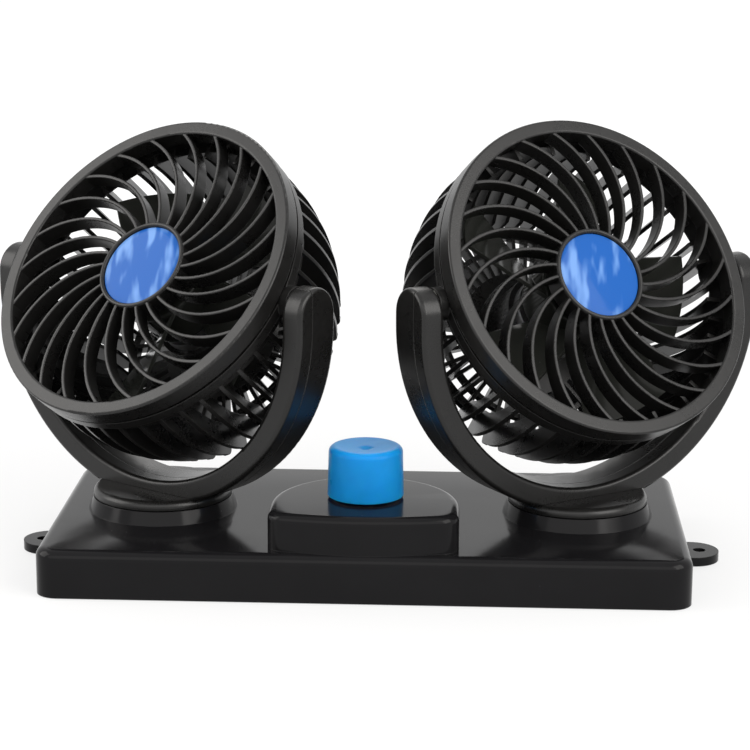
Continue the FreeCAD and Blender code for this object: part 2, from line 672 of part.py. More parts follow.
def make_yoke():
    """The rear of the U, on its foot and hollow stem."""
    foot = disc(FOOT_RADIUS, FOOT_UNDERSIDE, FOOT_TOP)
    foot = foot.makeFillet(FOOT_TOP_ROUND, edges_at(foot, FOOT_TOP))
    stem = disc(STEM_RADIUS, STEM_FOOT, FOOT_TOP)
    bosses = cover_bosses(SEAM_Y, YOKE_BACK_Y - YOKE_WALL / 2)
    body = join([band_part(SEAM_Y + YOKE_SEAM_GAP, YOKE_BACK_Y), foot, stem] + bosses)
    holes = [disc(STEM_BORE_RADIUS, STEM_FOOT, YOKE_CENTRE_Z - CHANNEL_INNER)]
    holes += [screw_hole(RETAINER_SCREW, seat, AXIS_Z) for seat in retainer_screw_seats()]
    holes += [pivot_pin(side) for side in (-1, 1)]
    return body.cut(holes + cover_screw_solids())


def make_yoke_cover():
    """The front of the U, which closes the band and seats on its screw bosses."""
    cover = band_part(YOKE_FRONT_Y, SEAM_Y).cut(disc(FOOT_RADIUS, 0, FOOT_TOP))
    cover = join([cover] + cover_bosses(YOKE_FRONT_Y + YOKE_WALL / 2, SEAM_Y))
    return cover.cut(cover_screw_solids())


def make_cover_screws():
    """Two screws with their heads sunk in the back of the yoke."""
    return Part.makeCompound(cover_screw_solids())


def retainer_screw_seats():
    """Seats of the screws that hold the retainer to the end of the stem."""
    radius = (STEM_RADIUS + STEM_BORE_RADIUS) / 2
    seats = []
    for index in range(RETAINER_SCREW_COUNT):
        angle = math.radians(360.0 * index / RETAINER_SCREW_COUNT)
        seats.append(V(radius * math.cos(angle), radius * math.sin(angle), STEM_FOOT - RETAINER_THICK))
    return seats


def make_swivel_retainer():
    """The ring under the stem that keeps the yoke on the base."""
    ring = tube(RETAINER_RADIUS, STEM_BORE_RADIUS, STEM_FOOT - RETAINER_THICK, STEM_FOOT)
    return ring.cut([screw_hole(RETAINER_SCREW, seat, AXIS_Z) for seat in retainer_screw_seats()])


def make_retainer_screws():
    """Screws through the retainer into the end of the stem."""
    return Part.makeCompound([screw(RETAINER_SCREW, seat, AXIS_Z) for seat in retainer_screw_seats()])


def make_swivel_washer():
    """The friction washer that lies on the retainer."""
    return tube(SWIVEL_WASHER_RADIUS, STEM_RADIUS, STEM_FOOT, STEM_FOOT + SWIVEL_WASHER_THICK)


BOSS_END = YOKE_INNER_RADIUS - TILT_WASHER_THICK - SLIDING_GAP


def pivot_pin(side):
    """One tilt pin, pressed into its arm and reaching into the head's boss."""
    inner = BOSS_END - PIVOT_PIN_IN_BOSS + SLIDING_GAP
    outer = YOKE_INNER_RADIUS + PIVOT_PIN_IN_ARM
    start = V(side * inner, 0, PIVOT_Z)
    return Part.makeCylinder(PIVOT_PIN_RADIUS, outer - inner, start, AXIS_X * side)


def make_pivot_pins():
    """The two tilt pins of one yoke."""
    return Part.makeCompound([pivot_pin(side) for side in (-1, 1)])


def make_tilt_washers():
    """A washer on each pin, against the inside of the arm."""
    washers = []
    for side in (-1, 1):
        start = V(side * (YOKE_INNER_RADIUS - TILT_WASHER_THICK), 0, PIVOT_Z)
        ring = Part.makeCylinder(TILT_WASHER_RADIUS, TILT_WASHER_THICK, start, AXIS_X * side)
        washers.append(ring.cut(pivot_pin(side)))
    return Part.makeCompound(washers)


def back(distance):
    """Height of a plane that lies a distance behind the front face, in a head's own frame.

    In that frame Z points out of the face, X is the tilt axis and the tilt axis is at Z = 0.
    """
    return FRONT_TO_PIVOT - distance


def vane():
    """One curved vane of the grille, starting straight out along X."""
    root = HUB_RADIUS - HUB_WALL / 2
    tip = RING_INNER_RADIUS + RING_INNER_SKIRT / 2
    middle = (root + tip) / 2
    points = []
    for radius, sweep in ((root, 0.0), (middle, VANE_MID_SWEEP), (tip, VANE_SWEEP)):
        angle = math.radians(sweep)
        points.append(V(radius * math.cos(angle), radius * math.sin(angle), back(VANE_FRONT)))
    circle = Part.Arc(*points).toShape().Curve
    sides = []
    for radius in (circle.Radius + VANE_THICK / 2, circle.Radius - VANE_THICK / 2):
        scale = radius / circle.Radius
        sides.append([circle.Center + (p - circle.Center) * scale for p in points])
    outer, inner = sides
    curves = [
        Part.Arc(*outer),
        Part.LineSegment(outer[-1], inner[-1]),
        Part.Arc(*reversed(inner)),
        Part.LineSegment(inner[0], outer[0]),
    ]
    outline = Part.Wire([c.toShape() for c in curves])
    blade = Part.Face(outline).extrude(V(0, 0, -VANE_DEPTH))
    long_edges = [e for e in edges_at(blade, back(VANE_FRONT)) if not isinstance(e.Curve, Part.Line)]
    return blade.makeFillet(VANE_EDGE_ROUND, long_edges)


def make_front_grille(vane_roll):
    """Ring, hub and vanes, moulded in one piece."""
    face = tube(RING_OUTER_RADIUS, RING_INNER_RADIUS, back(RING_FACE_THICK), back(0))
    outer_skirt = tube(RING_OUTER_RADIUS, RING_OUTER_RADIUS - RING_OUTER_SKIRT,
                       back(RING_SKIRT_BACK), back(RING_FACE_THICK))
    inner_skirt = tube(RING_INNER_RADIUS + RING_INNER_SKIRT, RING_INNER_RADIUS,
                       back(RING_SKIRT_BACK), back(RING_FACE_THICK))
    ring = join([face, outer_skirt, inner_skirt])
    ring = ring.makeFillet(RING_EDGE_ROUND, edges_at(ring, back(0)))

    hub_back = back(HUB_FRONT + HUB_DEPTH)
    badge_floor = back(HUB_FRONT + BADGE_RECESS)
    hub = disc(HUB_RADIUS, hub_back, back(HUB_FRONT))
    hub = hub.makeFillet(HUB_EDGE_ROUND, edges_at(hub, back(HUB_FRONT)))
    recess = disc(BADGE_RADIUS + BADGE_CLEARANCE, badge_floor, back(HUB_FRONT))
    hollow = disc(HUB_RADIUS - HUB_WALL, hub_back, badge_floor - HUB_FACE_THICK)
    hub = hub.cut([recess, hollow])
    return join([ring, hub] + around(vane(), VANE_COUNT, vane_roll))


def make_hub_badge():
    """The bare round plate in the hub's recess."""
    floor = back(HUB_FRONT + BADGE_RECESS)
    return disc(BADGE_RADIUS, floor, floor + BADGE_THICK)


def fin():
    """One axial fin of the cage, which turns in over the back."""
    rim = RIM_BACK - FIN_THICK
    run = FIN_SHOULDER_RADIUS - FIN_HEEL_RADIUS
    rise = CAGE_BACK - FIN_SHOULDER_BACK
    corner = (run ** 2 + rise ** 2) / (2 * rise)
    half_turn = math.atan2(run, corner - rise) / 2
    corner_radius = FIN_HEEL_RADIUS + corner * math.sin(half_turn)
    corner_back = CAGE_BACK - corner + corner * math.cos(half_turn)
    core = CAGE_FLOOR_RADIUS - FIN_THICK
    inner_floor = CAGE_BACK - CAGE_FLOOR_THICK

    def at(radius, distance):
        return V(radius, -FIN_THICK / 2, back(distance))

    curves = [
        Part.Arc(at(FIN_FRONT_RADIUS, rim), at(FIN_MID_RADIUS, FIN_MID_BACK),
                 at(FIN_SHOULDER_RADIUS, FIN_SHOULDER_BACK)),
        Part.Arc(at(FIN_SHOULDER_RADIUS, FIN_SHOULDER_BACK), at(corner_radius, corner_back),
                 at(FIN_HEEL_RADIUS, CAGE_BACK)),
        Part.LineSegment(at(FIN_HEEL_RADIUS, CAGE_BACK), at(core, CAGE_BACK)),
        Part.LineSegment(at(core, CAGE_BACK), at(core, inner_floor)),
        Part.LineSegment(at(core, inner_floor), at(FIN_HEEL_RADIUS - FIN_DEPTH / 2, inner_floor)),
        Part.LineSegment(at(FIN_HEEL_RADIUS - FIN_DEPTH / 2, inner_floor),
                         at(FIN_SHOULDER_RADIUS - FIN_DEPTH, FIN_SHOULDER_BACK - FIN_DEPTH)),
        Part.Arc(at(FIN_SHOULDER_RADIUS - FIN_DEPTH, FIN_SHOULDER_BACK - FIN_DEPTH),
                 at(FIN_MID_RADIUS - FIN_DEPTH, FIN_MID_BACK - FIN_DEPTH / 2),
                 at(FIN_FRONT_RADIUS - FIN_DEPTH, rim)),
        Part.LineSegment(at(FIN_FRONT_RADIUS - FIN_DEPTH, rim), at(FIN_FRONT_RADIUS, rim)),
    ]
    return Part.Face(Part.Wire([c.toShape() for c in curves])).extrude(V(0, FIN_THICK, 0))


TONGUE_INNER = RING_INNER_RADIUS + RING_INNER_SKIRT + TONGUE_CLEARANCE
TONGUE_OUTER = RING_OUTER_RADIUS - RING_OUTER_SKIRT - TONGUE_CLEARANCE
MOTOR_BACK = CAGE_BACK - CAGE_FLOOR_THICK
MOTOR_FRONT = MOTOR_BACK - MOTOR_LENGTH
CUP_RADIUS = MOTOR_RADIUS + MOTOR_CUP_CLEARANCE


def motor_screw_seats():
    """Seats of the motor's screws on the back of the cage."""
    return [V(side * MOTOR_SCREW_OFFSET, 0, back(CAGE_BACK)) for side in (-1, 1)]


def make_rear_cage():
    """The cage: a rim whose tongue enters the grille, a neck, fins, hoops, floor and motor cup."""
    tongue = tube(TONGUE_OUTER, TONGUE_INNER, back(RIM_BACK), back(RING_FACE_THICK))
    rim = tube(RIM_RADIUS, TONGUE_INNER, back(RIM_BACK), back(RIM_FRONT))
    neck = tube(FIN_FRONT_RADIUS - RIM_NECK_SUNK, TONGUE_INNER, back(RIM_NECK_BACK), back(RIM_FRONT))
    hoop_back = CAGE_BACK - HOOP_SUNK
    hoops = []
    for radius, width in ((INNER_HOOP_RADIUS, INNER_HOOP_WIDTH), (OUTER_HOOP_RADIUS, OUTER_HOOP_WIDTH)):
        hoops.append(tube(
            radius + width / 2, radius - width / 2, back(hoop_back), back(hoop_back - HOOP_DEPTH)))
    floor = disc(CAGE_FLOOR_RADIUS, back(CAGE_BACK), back(MOTOR_BACK))
    cup_front = back(MOTOR_BACK - MOTOR_CUP_LENGTH)
    cup = tube(CUP_RADIUS + MOTOR_CUP_WALL, CUP_RADIUS, back(MOTOR_BACK), cup_front)
    boss_length = BOSS_END - TONGUE_INNER
    bosses = []
    for side in (-1, 1):
        start = V(side * TONGUE_INNER, 0, 0)
        bosses.append(Part.makeCylinder(PIVOT_BOSS_RADIUS, boss_length, start, AXIS_X * side))
    fins = around(fin(), FIN_COUNT, 180.0 / FIN_COUNT)
    cage = join([join([rim, tongue, neck, floor, cup] + fins)] + hoops + bosses)

    holes = [screw_hole(MOTOR_SCREW, seat, AXIS_Z) for seat in motor_screw_seats()]
    for side in (-1, 1):
        start = V(side * (BOSS_END - PIVOT_PIN_IN_BOSS), 0, 0)
        holes.append(Part.makeCylinder(
            PIVOT_PIN_RADIUS + RUNNING_CLEARANCE, PIVOT_PIN_IN_BOSS, start, AXIS_X * side))
    return cage.cut(holes)


def make_motor_can():
    """The steel can, open at the back where the end cap goes in."""
    cap_front = back(MOTOR_BACK - MOTOR_CAP_THICK)
    inner_front = back(MOTOR_FRONT + MOTOR_WALL)
    nose_front = back(MOTOR_FRONT - MOTOR_NOSE_LENGTH)
    outside = disc(MOTOR_RADIUS, cap_front, back(MOTOR_FRONT))
    nose = disc(MOTOR_NOSE_RADIUS, back(MOTOR_FRONT), nose_front)
    hollow = disc(MOTOR_RADIUS - MOTOR_WALL, cap_front, inner_front)
    bush_seat = disc(BUSH_RADIUS, inner_front, nose_front)
    return outside.fuse(nose).removeSplitter().cut([hollow, bush_seat])


def make_motor_end_cap():
    """The plastic cap at the back of the motor, with the rear bearing hole."""
    cap_front = back(MOTOR_BACK - MOTOR_CAP_THICK)
    cap = disc(MOTOR_RADIUS, back(MOTOR_BACK), cap_front)
    bore = disc(SHAFT_RADIUS + SHAFT_CLEARANCE, back(MOTOR_BACK - MOTOR_WALL), cap_front)
    holes = [screw_hole(MOTOR_SCREW, seat, AXIS_Z) for seat in motor_screw_seats()]
    return cap.cut([bore] + holes)


def make_motor_bush():
    """The front bearing of the motor shaft."""
    nose_front = back(MOTOR_FRONT - MOTOR_NOSE_LENGTH)
    inner_front = back(MOTOR_FRONT + MOTOR_WALL)
    return tube(BUSH_RADIUS, SHAFT_RADIUS + SHAFT_CLEARANCE, inner_front, nose_front)


def make_motor_shaft():
    """The shaft from the rear bearing to the impeller."""
    front = IMPELLER_FRONT + IMPELLER_HUB_WALL
    return disc(SHAFT_RADIUS, back(MOTOR_BACK - MOTOR_WALL - SLIDING_GAP), back(front))


def make_motor_rotor():
    """The wound rotor on the shaft, inside the can."""
    middle = (MOTOR_FRONT + MOTOR_WALL + MOTOR_BACK - MOTOR_CAP_THICK) / 2
    low = back(middle + ROTOR_LENGTH / 2)
    high = back(middle - ROTOR_LENGTH / 2)
    core = tube(ROTOR_RADIUS, SHAFT_RADIUS, low, high)
    start = V(ROTOR_RADIUS - ROTOR_SLOT_DEPTH, -ROTOR_SLOT_WIDTH / 2, low)
    slot = Part.makeBox(2 * ROTOR_SLOT_DEPTH, ROTOR_SLOT_WIDTH, high - low, start)
    return core.cut(around(slot, ROTOR_SLOT_COUNT))


def make_motor_screws():
    """Screws through the back of the cage into the motor."""
    return Part.makeCompound([screw(MOTOR_SCREW, seat, AXIS_Z) for seat in motor_screw_seats()])


def blade_section(radius, chord, pitch, shift):
    """A thin rectangle on the plane X = radius, leaning by the pitch angle from the fan's plane."""
    lean = math.radians(pitch)
    along = V(0, math.cos(lean), math.sin(lean))
    across = V(0, -math.sin(lean), math.cos(lean))
    middle = V(radius, shift, back(IMPELLER_FRONT + IMPELLER_HUB_LENGTH / 2))
    corners = [(-1, -1), (1, -1), (1, 1), (-1, 1), (-1, -1)]
    points = [middle + along * (a * chord / 2) + across * (t * BLADE_THICK / 2) for a, t in corners]
    return Part.makePolygon(points)


def make_impeller(blade_roll):
    """Hub cup with swept blades, the first at the roll angle, and a boss that grips the shaft."""
    low = back(IMPELLER_FRONT + IMPELLER_HUB_LENGTH)
    high = back(IMPELLER_FRONT)
    cup = disc(IMPELLER_HUB_RADIUS, low, high)
    cup = cup.makeFillet(IMPELLER_HUB_WALL, edges_at(cup, high))
    ceiling = high - IMPELLER_HUB_WALL
    root = IMPELLER_HUB_RADIUS - IMPELLER_HUB_WALL
    hollow = disc(root, low, ceiling)
    boss = disc(IMPELLER_BOSS_RADIUS, ceiling - IMPELLER_GRIP, ceiling)
    sections = [
        blade_section(BLADE_ROOT_START, BLADE_ROOT_CHORD, BLADE_ROOT_PITCH, BLADE_ROOT_SHIFT),
        blade_section(IMPELLER_TIP_RADIUS, BLADE_TIP_CHORD, BLADE_TIP_PITCH, BLADE_TIP_SHIFT),
    ]
    blade = Part.makeLoft(sections, True, True)
    reach = tube(IMPELLER_TIP_RADIUS, root, low - BLADE_TIP_CHORD, high + BLADE_TIP_CHORD)
    body = join([cup.cut(hollow), boss] + around(blade.common(reach), BLADE_COUNT, blade_roll))
    return body.cut(disc(SHAFT_RADIUS, low, ceiling))


def make_yoke_nodes():
    """Pieces that swivel with a yoke, on a swivel axis at X = Y = 0 and facing -Y."""
    return {
        "yoke": make_yoke(),
        "yoke_cover": make_yoke_cover(),
        "cover_screws": make_cover_screws(),
        "swivel_retainer": make_swivel_retainer(),
        "retainer_screws": make_retainer_screws(),
        "swivel_washer": make_swivel_washer(),
        "pivot_pins": make_pivot_pins(),
        "tilt_washers": make_tilt_washers(),
    }


def make_head_nodes(vane_roll, blade_roll):
    """Pieces of one fan head, in the head's own frame."""
    return {
        "front_grille": make_front_grille(vane_roll),
        "hub_badge": make_hub_badge(),
        "rear_cage": make_rear_cage(),
        "motor_can": make_motor_can(),
        "motor_end_cap": make_motor_end_cap(),
        "motor_bush": make_motor_bush(),
        "motor_shaft": make_motor_shaft(),
        "motor_rotor": make_motor_rotor(),
        "motor_screws": make_motor_screws(),
        "impeller": make_impeller(blade_roll),
    }


def make_base_nodes():
    """Pieces of the base, with the knob and its shaft."""
    return {
        "base_housing": make_base_housing(),
        "base_plate": make_base_plate(),
        "base_screws": make_base_screws(),
        "foot_pads": make_foot_pads(),
        "adhesive_pad": make_adhesive_pad(),
        "control_board": make_control_board(),
        "board_parts": make_board_parts(),
        "cable_grommet": make_cable_grommet(),
        "speed_switch": make_speed_switch(),
        "switch_nut": make_switch_nut(),
        "switch_shaft": make_switch_shaft(),
        "speed_knob": make_speed_knob(),
    }


def placed(shape, origin, turn, lean):
    """A copy leant about X, turned about Z and moved to its origin."""
    rotation = FreeCAD.Rotation(AXIS_Z, turn).multiply(FreeCAD.Rotation(AXIS_X, lean))
    copy = shape.copy()
    copy.Placement = FreeCAD.Placement(origin, rotation)
    return copy


def main():
    """Makes every piece, puts it in its place and writes its file."""
    nodes = make_base_nodes()
    yoke_nodes = make_yoke_nodes()
    for side, pose in POSES.items():
        x = pose.side * SWIVEL_OFFSET
        for name, shape in yoke_nodes.items():
            nodes[side + "_" + name] = placed(shape, V(x, SWIVEL_Y, 0), pose.turn, 0.0)
        pivot = V(x, SWIVEL_Y, PIVOT_Z)
        for name, shape in make_head_nodes(pose.vane_roll, pose.blade_roll).items():
            nodes[side + "_" + name] = placed(shape, pivot, pose.turn, 90.0 - pose.tilt)

    os.makedirs("parts", exist_ok=True)
    for name, shape in nodes.items():
        shape.exportStep(os.path.join("parts", name + ".step"))
        print(name, len(shape.Solids), "solids", round(shape.Volume, 1), "mm3", shape.isValid())


if __name__ == "__main__":
    main()
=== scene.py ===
# %% [markdown]
# # A twin car fan
# Two small caged fans stand in U-shaped yokes on one glossy base, with a blue speed knob
# between them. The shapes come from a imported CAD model, which is loaded here as a fixed
# frame. This lesson gives every surface its finish, turns the few small pieces that need
# softer edges than the CAD solids have, and lights the whole as in a product studio.

# %% Load the frame
import json
import math

import bmesh
import bpy
from mathutils import Matrix, Vector


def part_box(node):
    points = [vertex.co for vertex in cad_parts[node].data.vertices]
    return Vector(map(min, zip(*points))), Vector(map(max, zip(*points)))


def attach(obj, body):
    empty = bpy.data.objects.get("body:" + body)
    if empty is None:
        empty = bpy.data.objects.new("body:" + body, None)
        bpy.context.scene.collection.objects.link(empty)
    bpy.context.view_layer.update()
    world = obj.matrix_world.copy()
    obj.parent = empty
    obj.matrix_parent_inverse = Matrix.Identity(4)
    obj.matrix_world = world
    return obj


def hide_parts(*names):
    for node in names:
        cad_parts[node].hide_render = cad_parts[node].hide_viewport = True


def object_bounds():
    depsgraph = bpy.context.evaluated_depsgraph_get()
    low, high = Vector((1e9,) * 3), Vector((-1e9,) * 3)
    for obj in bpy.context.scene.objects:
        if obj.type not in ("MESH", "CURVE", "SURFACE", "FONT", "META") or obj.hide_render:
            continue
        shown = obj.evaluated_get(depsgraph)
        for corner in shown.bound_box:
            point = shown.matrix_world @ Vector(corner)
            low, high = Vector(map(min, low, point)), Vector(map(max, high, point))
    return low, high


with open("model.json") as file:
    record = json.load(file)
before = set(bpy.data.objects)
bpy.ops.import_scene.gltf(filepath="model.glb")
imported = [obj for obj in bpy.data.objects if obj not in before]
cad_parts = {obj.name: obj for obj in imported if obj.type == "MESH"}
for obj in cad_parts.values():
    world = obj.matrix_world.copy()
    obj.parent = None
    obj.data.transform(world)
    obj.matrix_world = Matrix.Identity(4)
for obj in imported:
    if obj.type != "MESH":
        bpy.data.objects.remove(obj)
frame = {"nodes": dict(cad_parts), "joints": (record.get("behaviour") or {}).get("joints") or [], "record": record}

CAD_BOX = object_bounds()
RECORD = frame["record"]
print("CAD box", [[round(value, 4) for value in corner] for corner in CAD_BOX])

# %% [markdown]
# ## The camera
# The view is a long lens a little above the dashboard and a touch to the right of straight
# ahead. A camera can be aimed with a Track To constraint, but a constraint would fight the
# other views, so its matrix is written once: three axes and a place. The angles are in
# radians. The focal length is given in pixels of the square image and changed to
# millimetres of the sensor.

# %% Camera
IMAGE_SIDE_PX = 750
FOCAL_PX = 2300
SENSOR_MM = 36.0
AIM = Vector((0.001894, 0.0, 0.066978))
AIM_DISTANCE = 0.8203
AZIMUTH = 0.043
ELEVATION = 0.236
ROLL = 0.005

level = Vector((math.cos(AZIMUTH), math.sin(AZIMUTH), 0))
outward = Vector((math.sin(AZIMUTH), -math.cos(AZIMUTH), 0))
back = outward * math.cos(ELEVATION) + Vector((0, 0, math.sin(ELEVATION)))
upright = back.cross(level)
right = level * math.cos(ROLL) + upright * math.sin(ROLL)
up = upright * math.cos(ROLL) - level * math.sin(ROLL)

lens = bpy.data.cameras.new("long_lens")
lens.sensor_width = SENSOR_MM
lens.lens = FOCAL_PX * SENSOR_MM / IMAGE_SIDE_PX
camera = bpy.data.objects.new("camera", lens)
camera.matrix_world = (
    Matrix.Translation(AIM + back * AIM_DISTANCE)
    @ Matrix((right, up, back)).transposed().to_4x4()
)
bpy.context.scene.collection.objects.link(camera)
bpy.context.scene.camera = camera
bpy.context.scene.view_settings.view_transform = "Standard"
print("lens", round(lens.lens, 1), "mm, standing", AIM_DISTANCE, "m away")

# %% [markdown]
# ## Writing shaders as sums
# A finish is a tree of nodes, and building one by hand means many lines that add a node and
# join its sockets. Two small classes shorten that. A Wire holds one output socket, and
# arithmetic on it adds the Math node that does the sum, so `1 - mask` reads as it should.
# A Wiring holds one tree, and its method `node` makes every other kind of node. A Mix node
# has sockets of the same name for each kind of data, so those for colours go by number.

# %% Wires and wiring
MIX_FACTOR = 0
MIX_FIRST_COLOUR = 6
MIX_SECOND_COLOUR = 7
MIX_RESULT_COLOUR = 2


class Wire:
    """One output socket; sums and products of wires add Math nodes to their tree."""

    def __init__(self, wiring, socket):
        self.wiring = wiring
        self.socket = socket

    def math(self, operation, first, second):
        return self.wiring.node("ShaderNodeMath", {"operation": operation}, {0: first, 1: second})

    def __add__(self, other):
        return self.math("ADD", self, other)

    def __radd__(self, other):
        return self.math("ADD", other, self)

    def __sub__(self, other):
        return self.math("SUBTRACT", self, other)

    def __rsub__(self, other):
        return self.math("SUBTRACT", other, self)

    def __mul__(self, other):
        return self.math("MULTIPLY", self, other)

    def __rmul__(self, other):
        return self.math("MULTIPLY", other, self)


class Wiring:
    """A node tree that is being built, for a finish, the floor or the world."""

    def __init__(self, tree):
        self.tree = tree
        self.tree.nodes.clear()

    def node(self, kind, settings, sockets, output=0):
        """Adds a node, sets it up, fills its sockets with values or wires, gives its output."""
        node = self.tree.nodes.new(kind)
        for name, value in settings.items():
            setattr(node, name, value)
        for name, value in sockets.items():
            if isinstance(value, Wire):
                self.tree.links.new(value.socket, node.inputs[name])
            else:
                node.inputs[name].default_value = value
        return Wire(self, node.outputs[output]) if len(node.outputs) else None

    def ray(self, kind):
        """1 where the ray that looks is of this kind, such as Is Camera Ray."""
        return self.node("ShaderNodeLightPath", {}, {}, kind)

    def blend(self, factor, first, second):
        """A colour between two, the first at factor 0 and the second at 1."""
        sockets = {
            MIX_FACTOR: factor,
            MIX_FIRST_COLOUR: as_colour(first),
            MIX_SECOND_COLOUR: as_colour(second),
        }
        return self.node("ShaderNodeMix", {"data_type": "RGBA"}, sockets, MIX_RESULT_COLOUR)


def as_colour(value):
    """A colour with its alpha, or the wire of one as it is."""
    return value if isinstance(value, Wire) else (*value, 1.0)


def between(wiring, value, low, high):
    """A value from low to high stretched to 0 to 1 and held there."""
    sockets = {"Value": value, "From Min": low, "From Max": high}
    return wiring.node("ShaderNodeMapRange", {"interpolation_type": "SMOOTHSTEP"}, sockets)


print("wiring ready")

# %% [markdown]
# ## The studio
# The object stands on a plain pale sweep among four large soft lamps, in a white room. An
# image of a studio could light it, but a few soft shapes are enough for black plastic,
# which shows little but its reflections. A world of strength 1 is pure white to the camera,
# lights matt surfaces evenly, and is what glossy and clear parts show as well.

# %% World
WHITE = (1.0, 1.0, 1.0)

studio = bpy.data.worlds.new("studio")
studio.use_nodes = True
bpy.context.scene.world = studio
room = Wiring(studio.node_tree)
room_light = room.node("ShaderNodeBackground", {}, {"Color": as_colour(WHITE), "Strength": 1.0})
room.node("ShaderNodeOutputWorld", {}, {"Surface": room_light})
print("world", studio.name)

# %% [markdown]
# The floor is a wide sheet just under the rubber feet. Its own colour is a mid grey, so the
# feet and the base cast a soft shadow on it. What the lamps leave short of white is added as
# a glow, stronger far away where the lamps don't reach. The camera sees the glow, and so do
# glossy and clear parts, but it lights no matt surface, so the shadow stays.

# %% Floor
FLOOR_SIDE = 6.0
FLOOR_DROP = 0.0003
FLOOR_GREY = (0.25, 0.25, 0.25)
NO_GLOW = (0.0, 0.0, 0.0)
NEAR_GLOW = (0.66, 0.66, 0.66)
FAR_GLOW = (0.80, 0.80, 0.80)
NEAR_REACH = 0.25
FAR_REACH = 0.90
FLOOR_ROUGHNESS = 0.9


def new_finish(name):
    """An empty material and the wiring of its tree."""
    material = bpy.data.materials.new(name)
    material.use_nodes = True
    return material, Wiring(material.node_tree)


def show(wiring, **sockets):
    """Ends a tree with a Principled shader; a socket's spaces are written as underscores."""
    named = {name.replace("_", " "): value for name, value in sockets.items()}
    shader = wiring.node("ShaderNodeBsdfPrincipled", {}, named)
    wiring.node("ShaderNodeOutputMaterial", {}, {"Surface": shader})


def new_object(name, form, material):
    """Turns a bmesh into an object of the scene with one material."""
    mesh = bpy.data.meshes.new(name)
    form.to_mesh(mesh)
    form.free()
    mesh.materials.append(material)
    piece = bpy.data.objects.new(name, mesh)
    bpy.context.scene.collection.objects.link(piece)
    return piece


sweep_finish, sweep = new_finish("studio_sweep")
glow_seen = sweep.ray("Is Camera Ray") + sweep.ray("Is Transmission Ray") + sweep.ray("Is Glossy Ray")
sheet_point = sweep.node("ShaderNodeTexCoord", {}, {}, "Object")
sheet_reach = sweep.node("ShaderNodeVectorMath", {"operation": "LENGTH"}, {0: sheet_point}, "Value")
glow = sweep.blend(between(sweep, sheet_reach, NEAR_REACH, FAR_REACH), NEAR_GLOW, FAR_GLOW)
show(
    sweep,
    Base_Color=as_colour(FLOOR_GREY),
    Roughness=FLOOR_ROUGHNESS,
    Specular_IOR_Level=0.0,
    Emission_Color=sweep.blend(glow_seen, NO_GLOW, glow),
    Emission_Strength=1.0,
)
sheet = bmesh.new()
bmesh.ops.create_grid(sheet, x_segments=1, y_segments=1, size=FLOOR_SIDE / 2)
bmesh.ops.translate(sheet, verts=sheet.verts, vec=(0, 0, CAD_BOX[0].z - FLOOR_DROP))
floor = new_object("floor", sheet, sweep_finish)
print("floor at", round(floor.data.vertices[0].co.z, 5))

# %% [markdown]
# Each lamp is a softbox: an Area light whose power follows from the brightness wanted on its
# face, so its size can change while its reflection stays as bright. The left and right ones
# stand where the tilted ring faces mirror them towards the camera. One behind gives the edges
# of the black parts a thin line against each other, and a wide one above the camera lays a
# single soft band on everything round, where two lamps would lay two stripes.

# %% Softboxes
LAMP_AIM = Vector((0, 0, 0.08))
LAMP_TINT = (1.0, 0.975, 0.945)


def softbox(name, direction, distance, width, height, brightness):
    """An oblong lamp that faces the object from a direction, as bright as asked on its face."""
    lamp_data = bpy.data.lights.new("softbox_" + name, "AREA")
    lamp_data.shape = "RECTANGLE"
    lamp_data.size = width
    lamp_data.size_y = height
    lamp_data.color = LAMP_TINT
    lamp_data.energy = brightness * math.pi * width * height
    lamp = bpy.data.objects.new(lamp_data.name, lamp_data)
    facing = Vector(direction).normalized()
    lamp.location = LAMP_AIM + facing * distance
    lamp.rotation_euler = facing.to_track_quat("Z", "Y").to_euler()
    bpy.context.scene.collection.objects.link(lamp)
    print(lamp.name, "energy", round(lamp_data.energy, 2))


softbox("left", direction=(-0.86, -0.05, 0.46), distance=1.1, width=0.75, height=0.75, brightness=3.2)
softbox("right", direction=(0.68, -0.48, 0.55), distance=1.1, width=0.75, height=0.75, brightness=4.0)
softbox("back", direction=(0.0, 0.80, 0.60), distance=1.3, width=0.60, height=0.60, brightness=1.6)
softbox("front", direction=(0.0, -0.80, 0.48), distance=1.1, width=2.20, height=0.60, brightness=1.0)

# %% [markdown]
# ## Patterns that several finishes share
# Moulded plastic is never one flat colour: the melt flows in soft clouds and the tool leaves a
# fine grain. Noise on Object coordinates gives both at real sizes, since the coordinates are in
# metres. Paler edges are a painted highlight, a lighter colour along every sharp edge. For the
# edges, the Bevel node gives a normal that is rounded near a corner, and where it leaves the
# true normal there is an edge. The same rounded normal softens every hard CAD edge in the light.
# Dust, pores and tracks come from a cell pattern, which knows how far the nearest of its points is.

# %% Shared patterns
EDGE_SAMPLES = 6
EDGE_FROM = 0.01
EDGE_FULL = 0.2
SMOOTH_DETAIL = 1.0
SOME_DETAIL = 2.0
FINE_DETAIL = 3.0
ONE_BLOT = 1.0
NO_TURN = (0, 0, 0)


def place(wiring):
    """Object coordinates, in metres."""
    return wiring.node("ShaderNodeTexCoord", {}, {}, "Object")


def stretched_place(wiring, stretch, turn=NO_TURN):
    """Object coordinates turned, and stretched to count in blots instead of metres."""
    sockets = {"Vector": place(wiring), "Rotation": turn, "Scale": stretch}
    return wiring.node("ShaderNodeMapping", {}, sockets)


def clouds(wiring, size, detail, point=None):
    """Soft noise from 0 to 1, its blots about this size in the units of the point."""
    sockets = {"Vector": point or place(wiring), "Scale": 1.0 / size, "Detail": detail}
    return wiring.node("ShaderNodeTexNoise", {}, sockets)


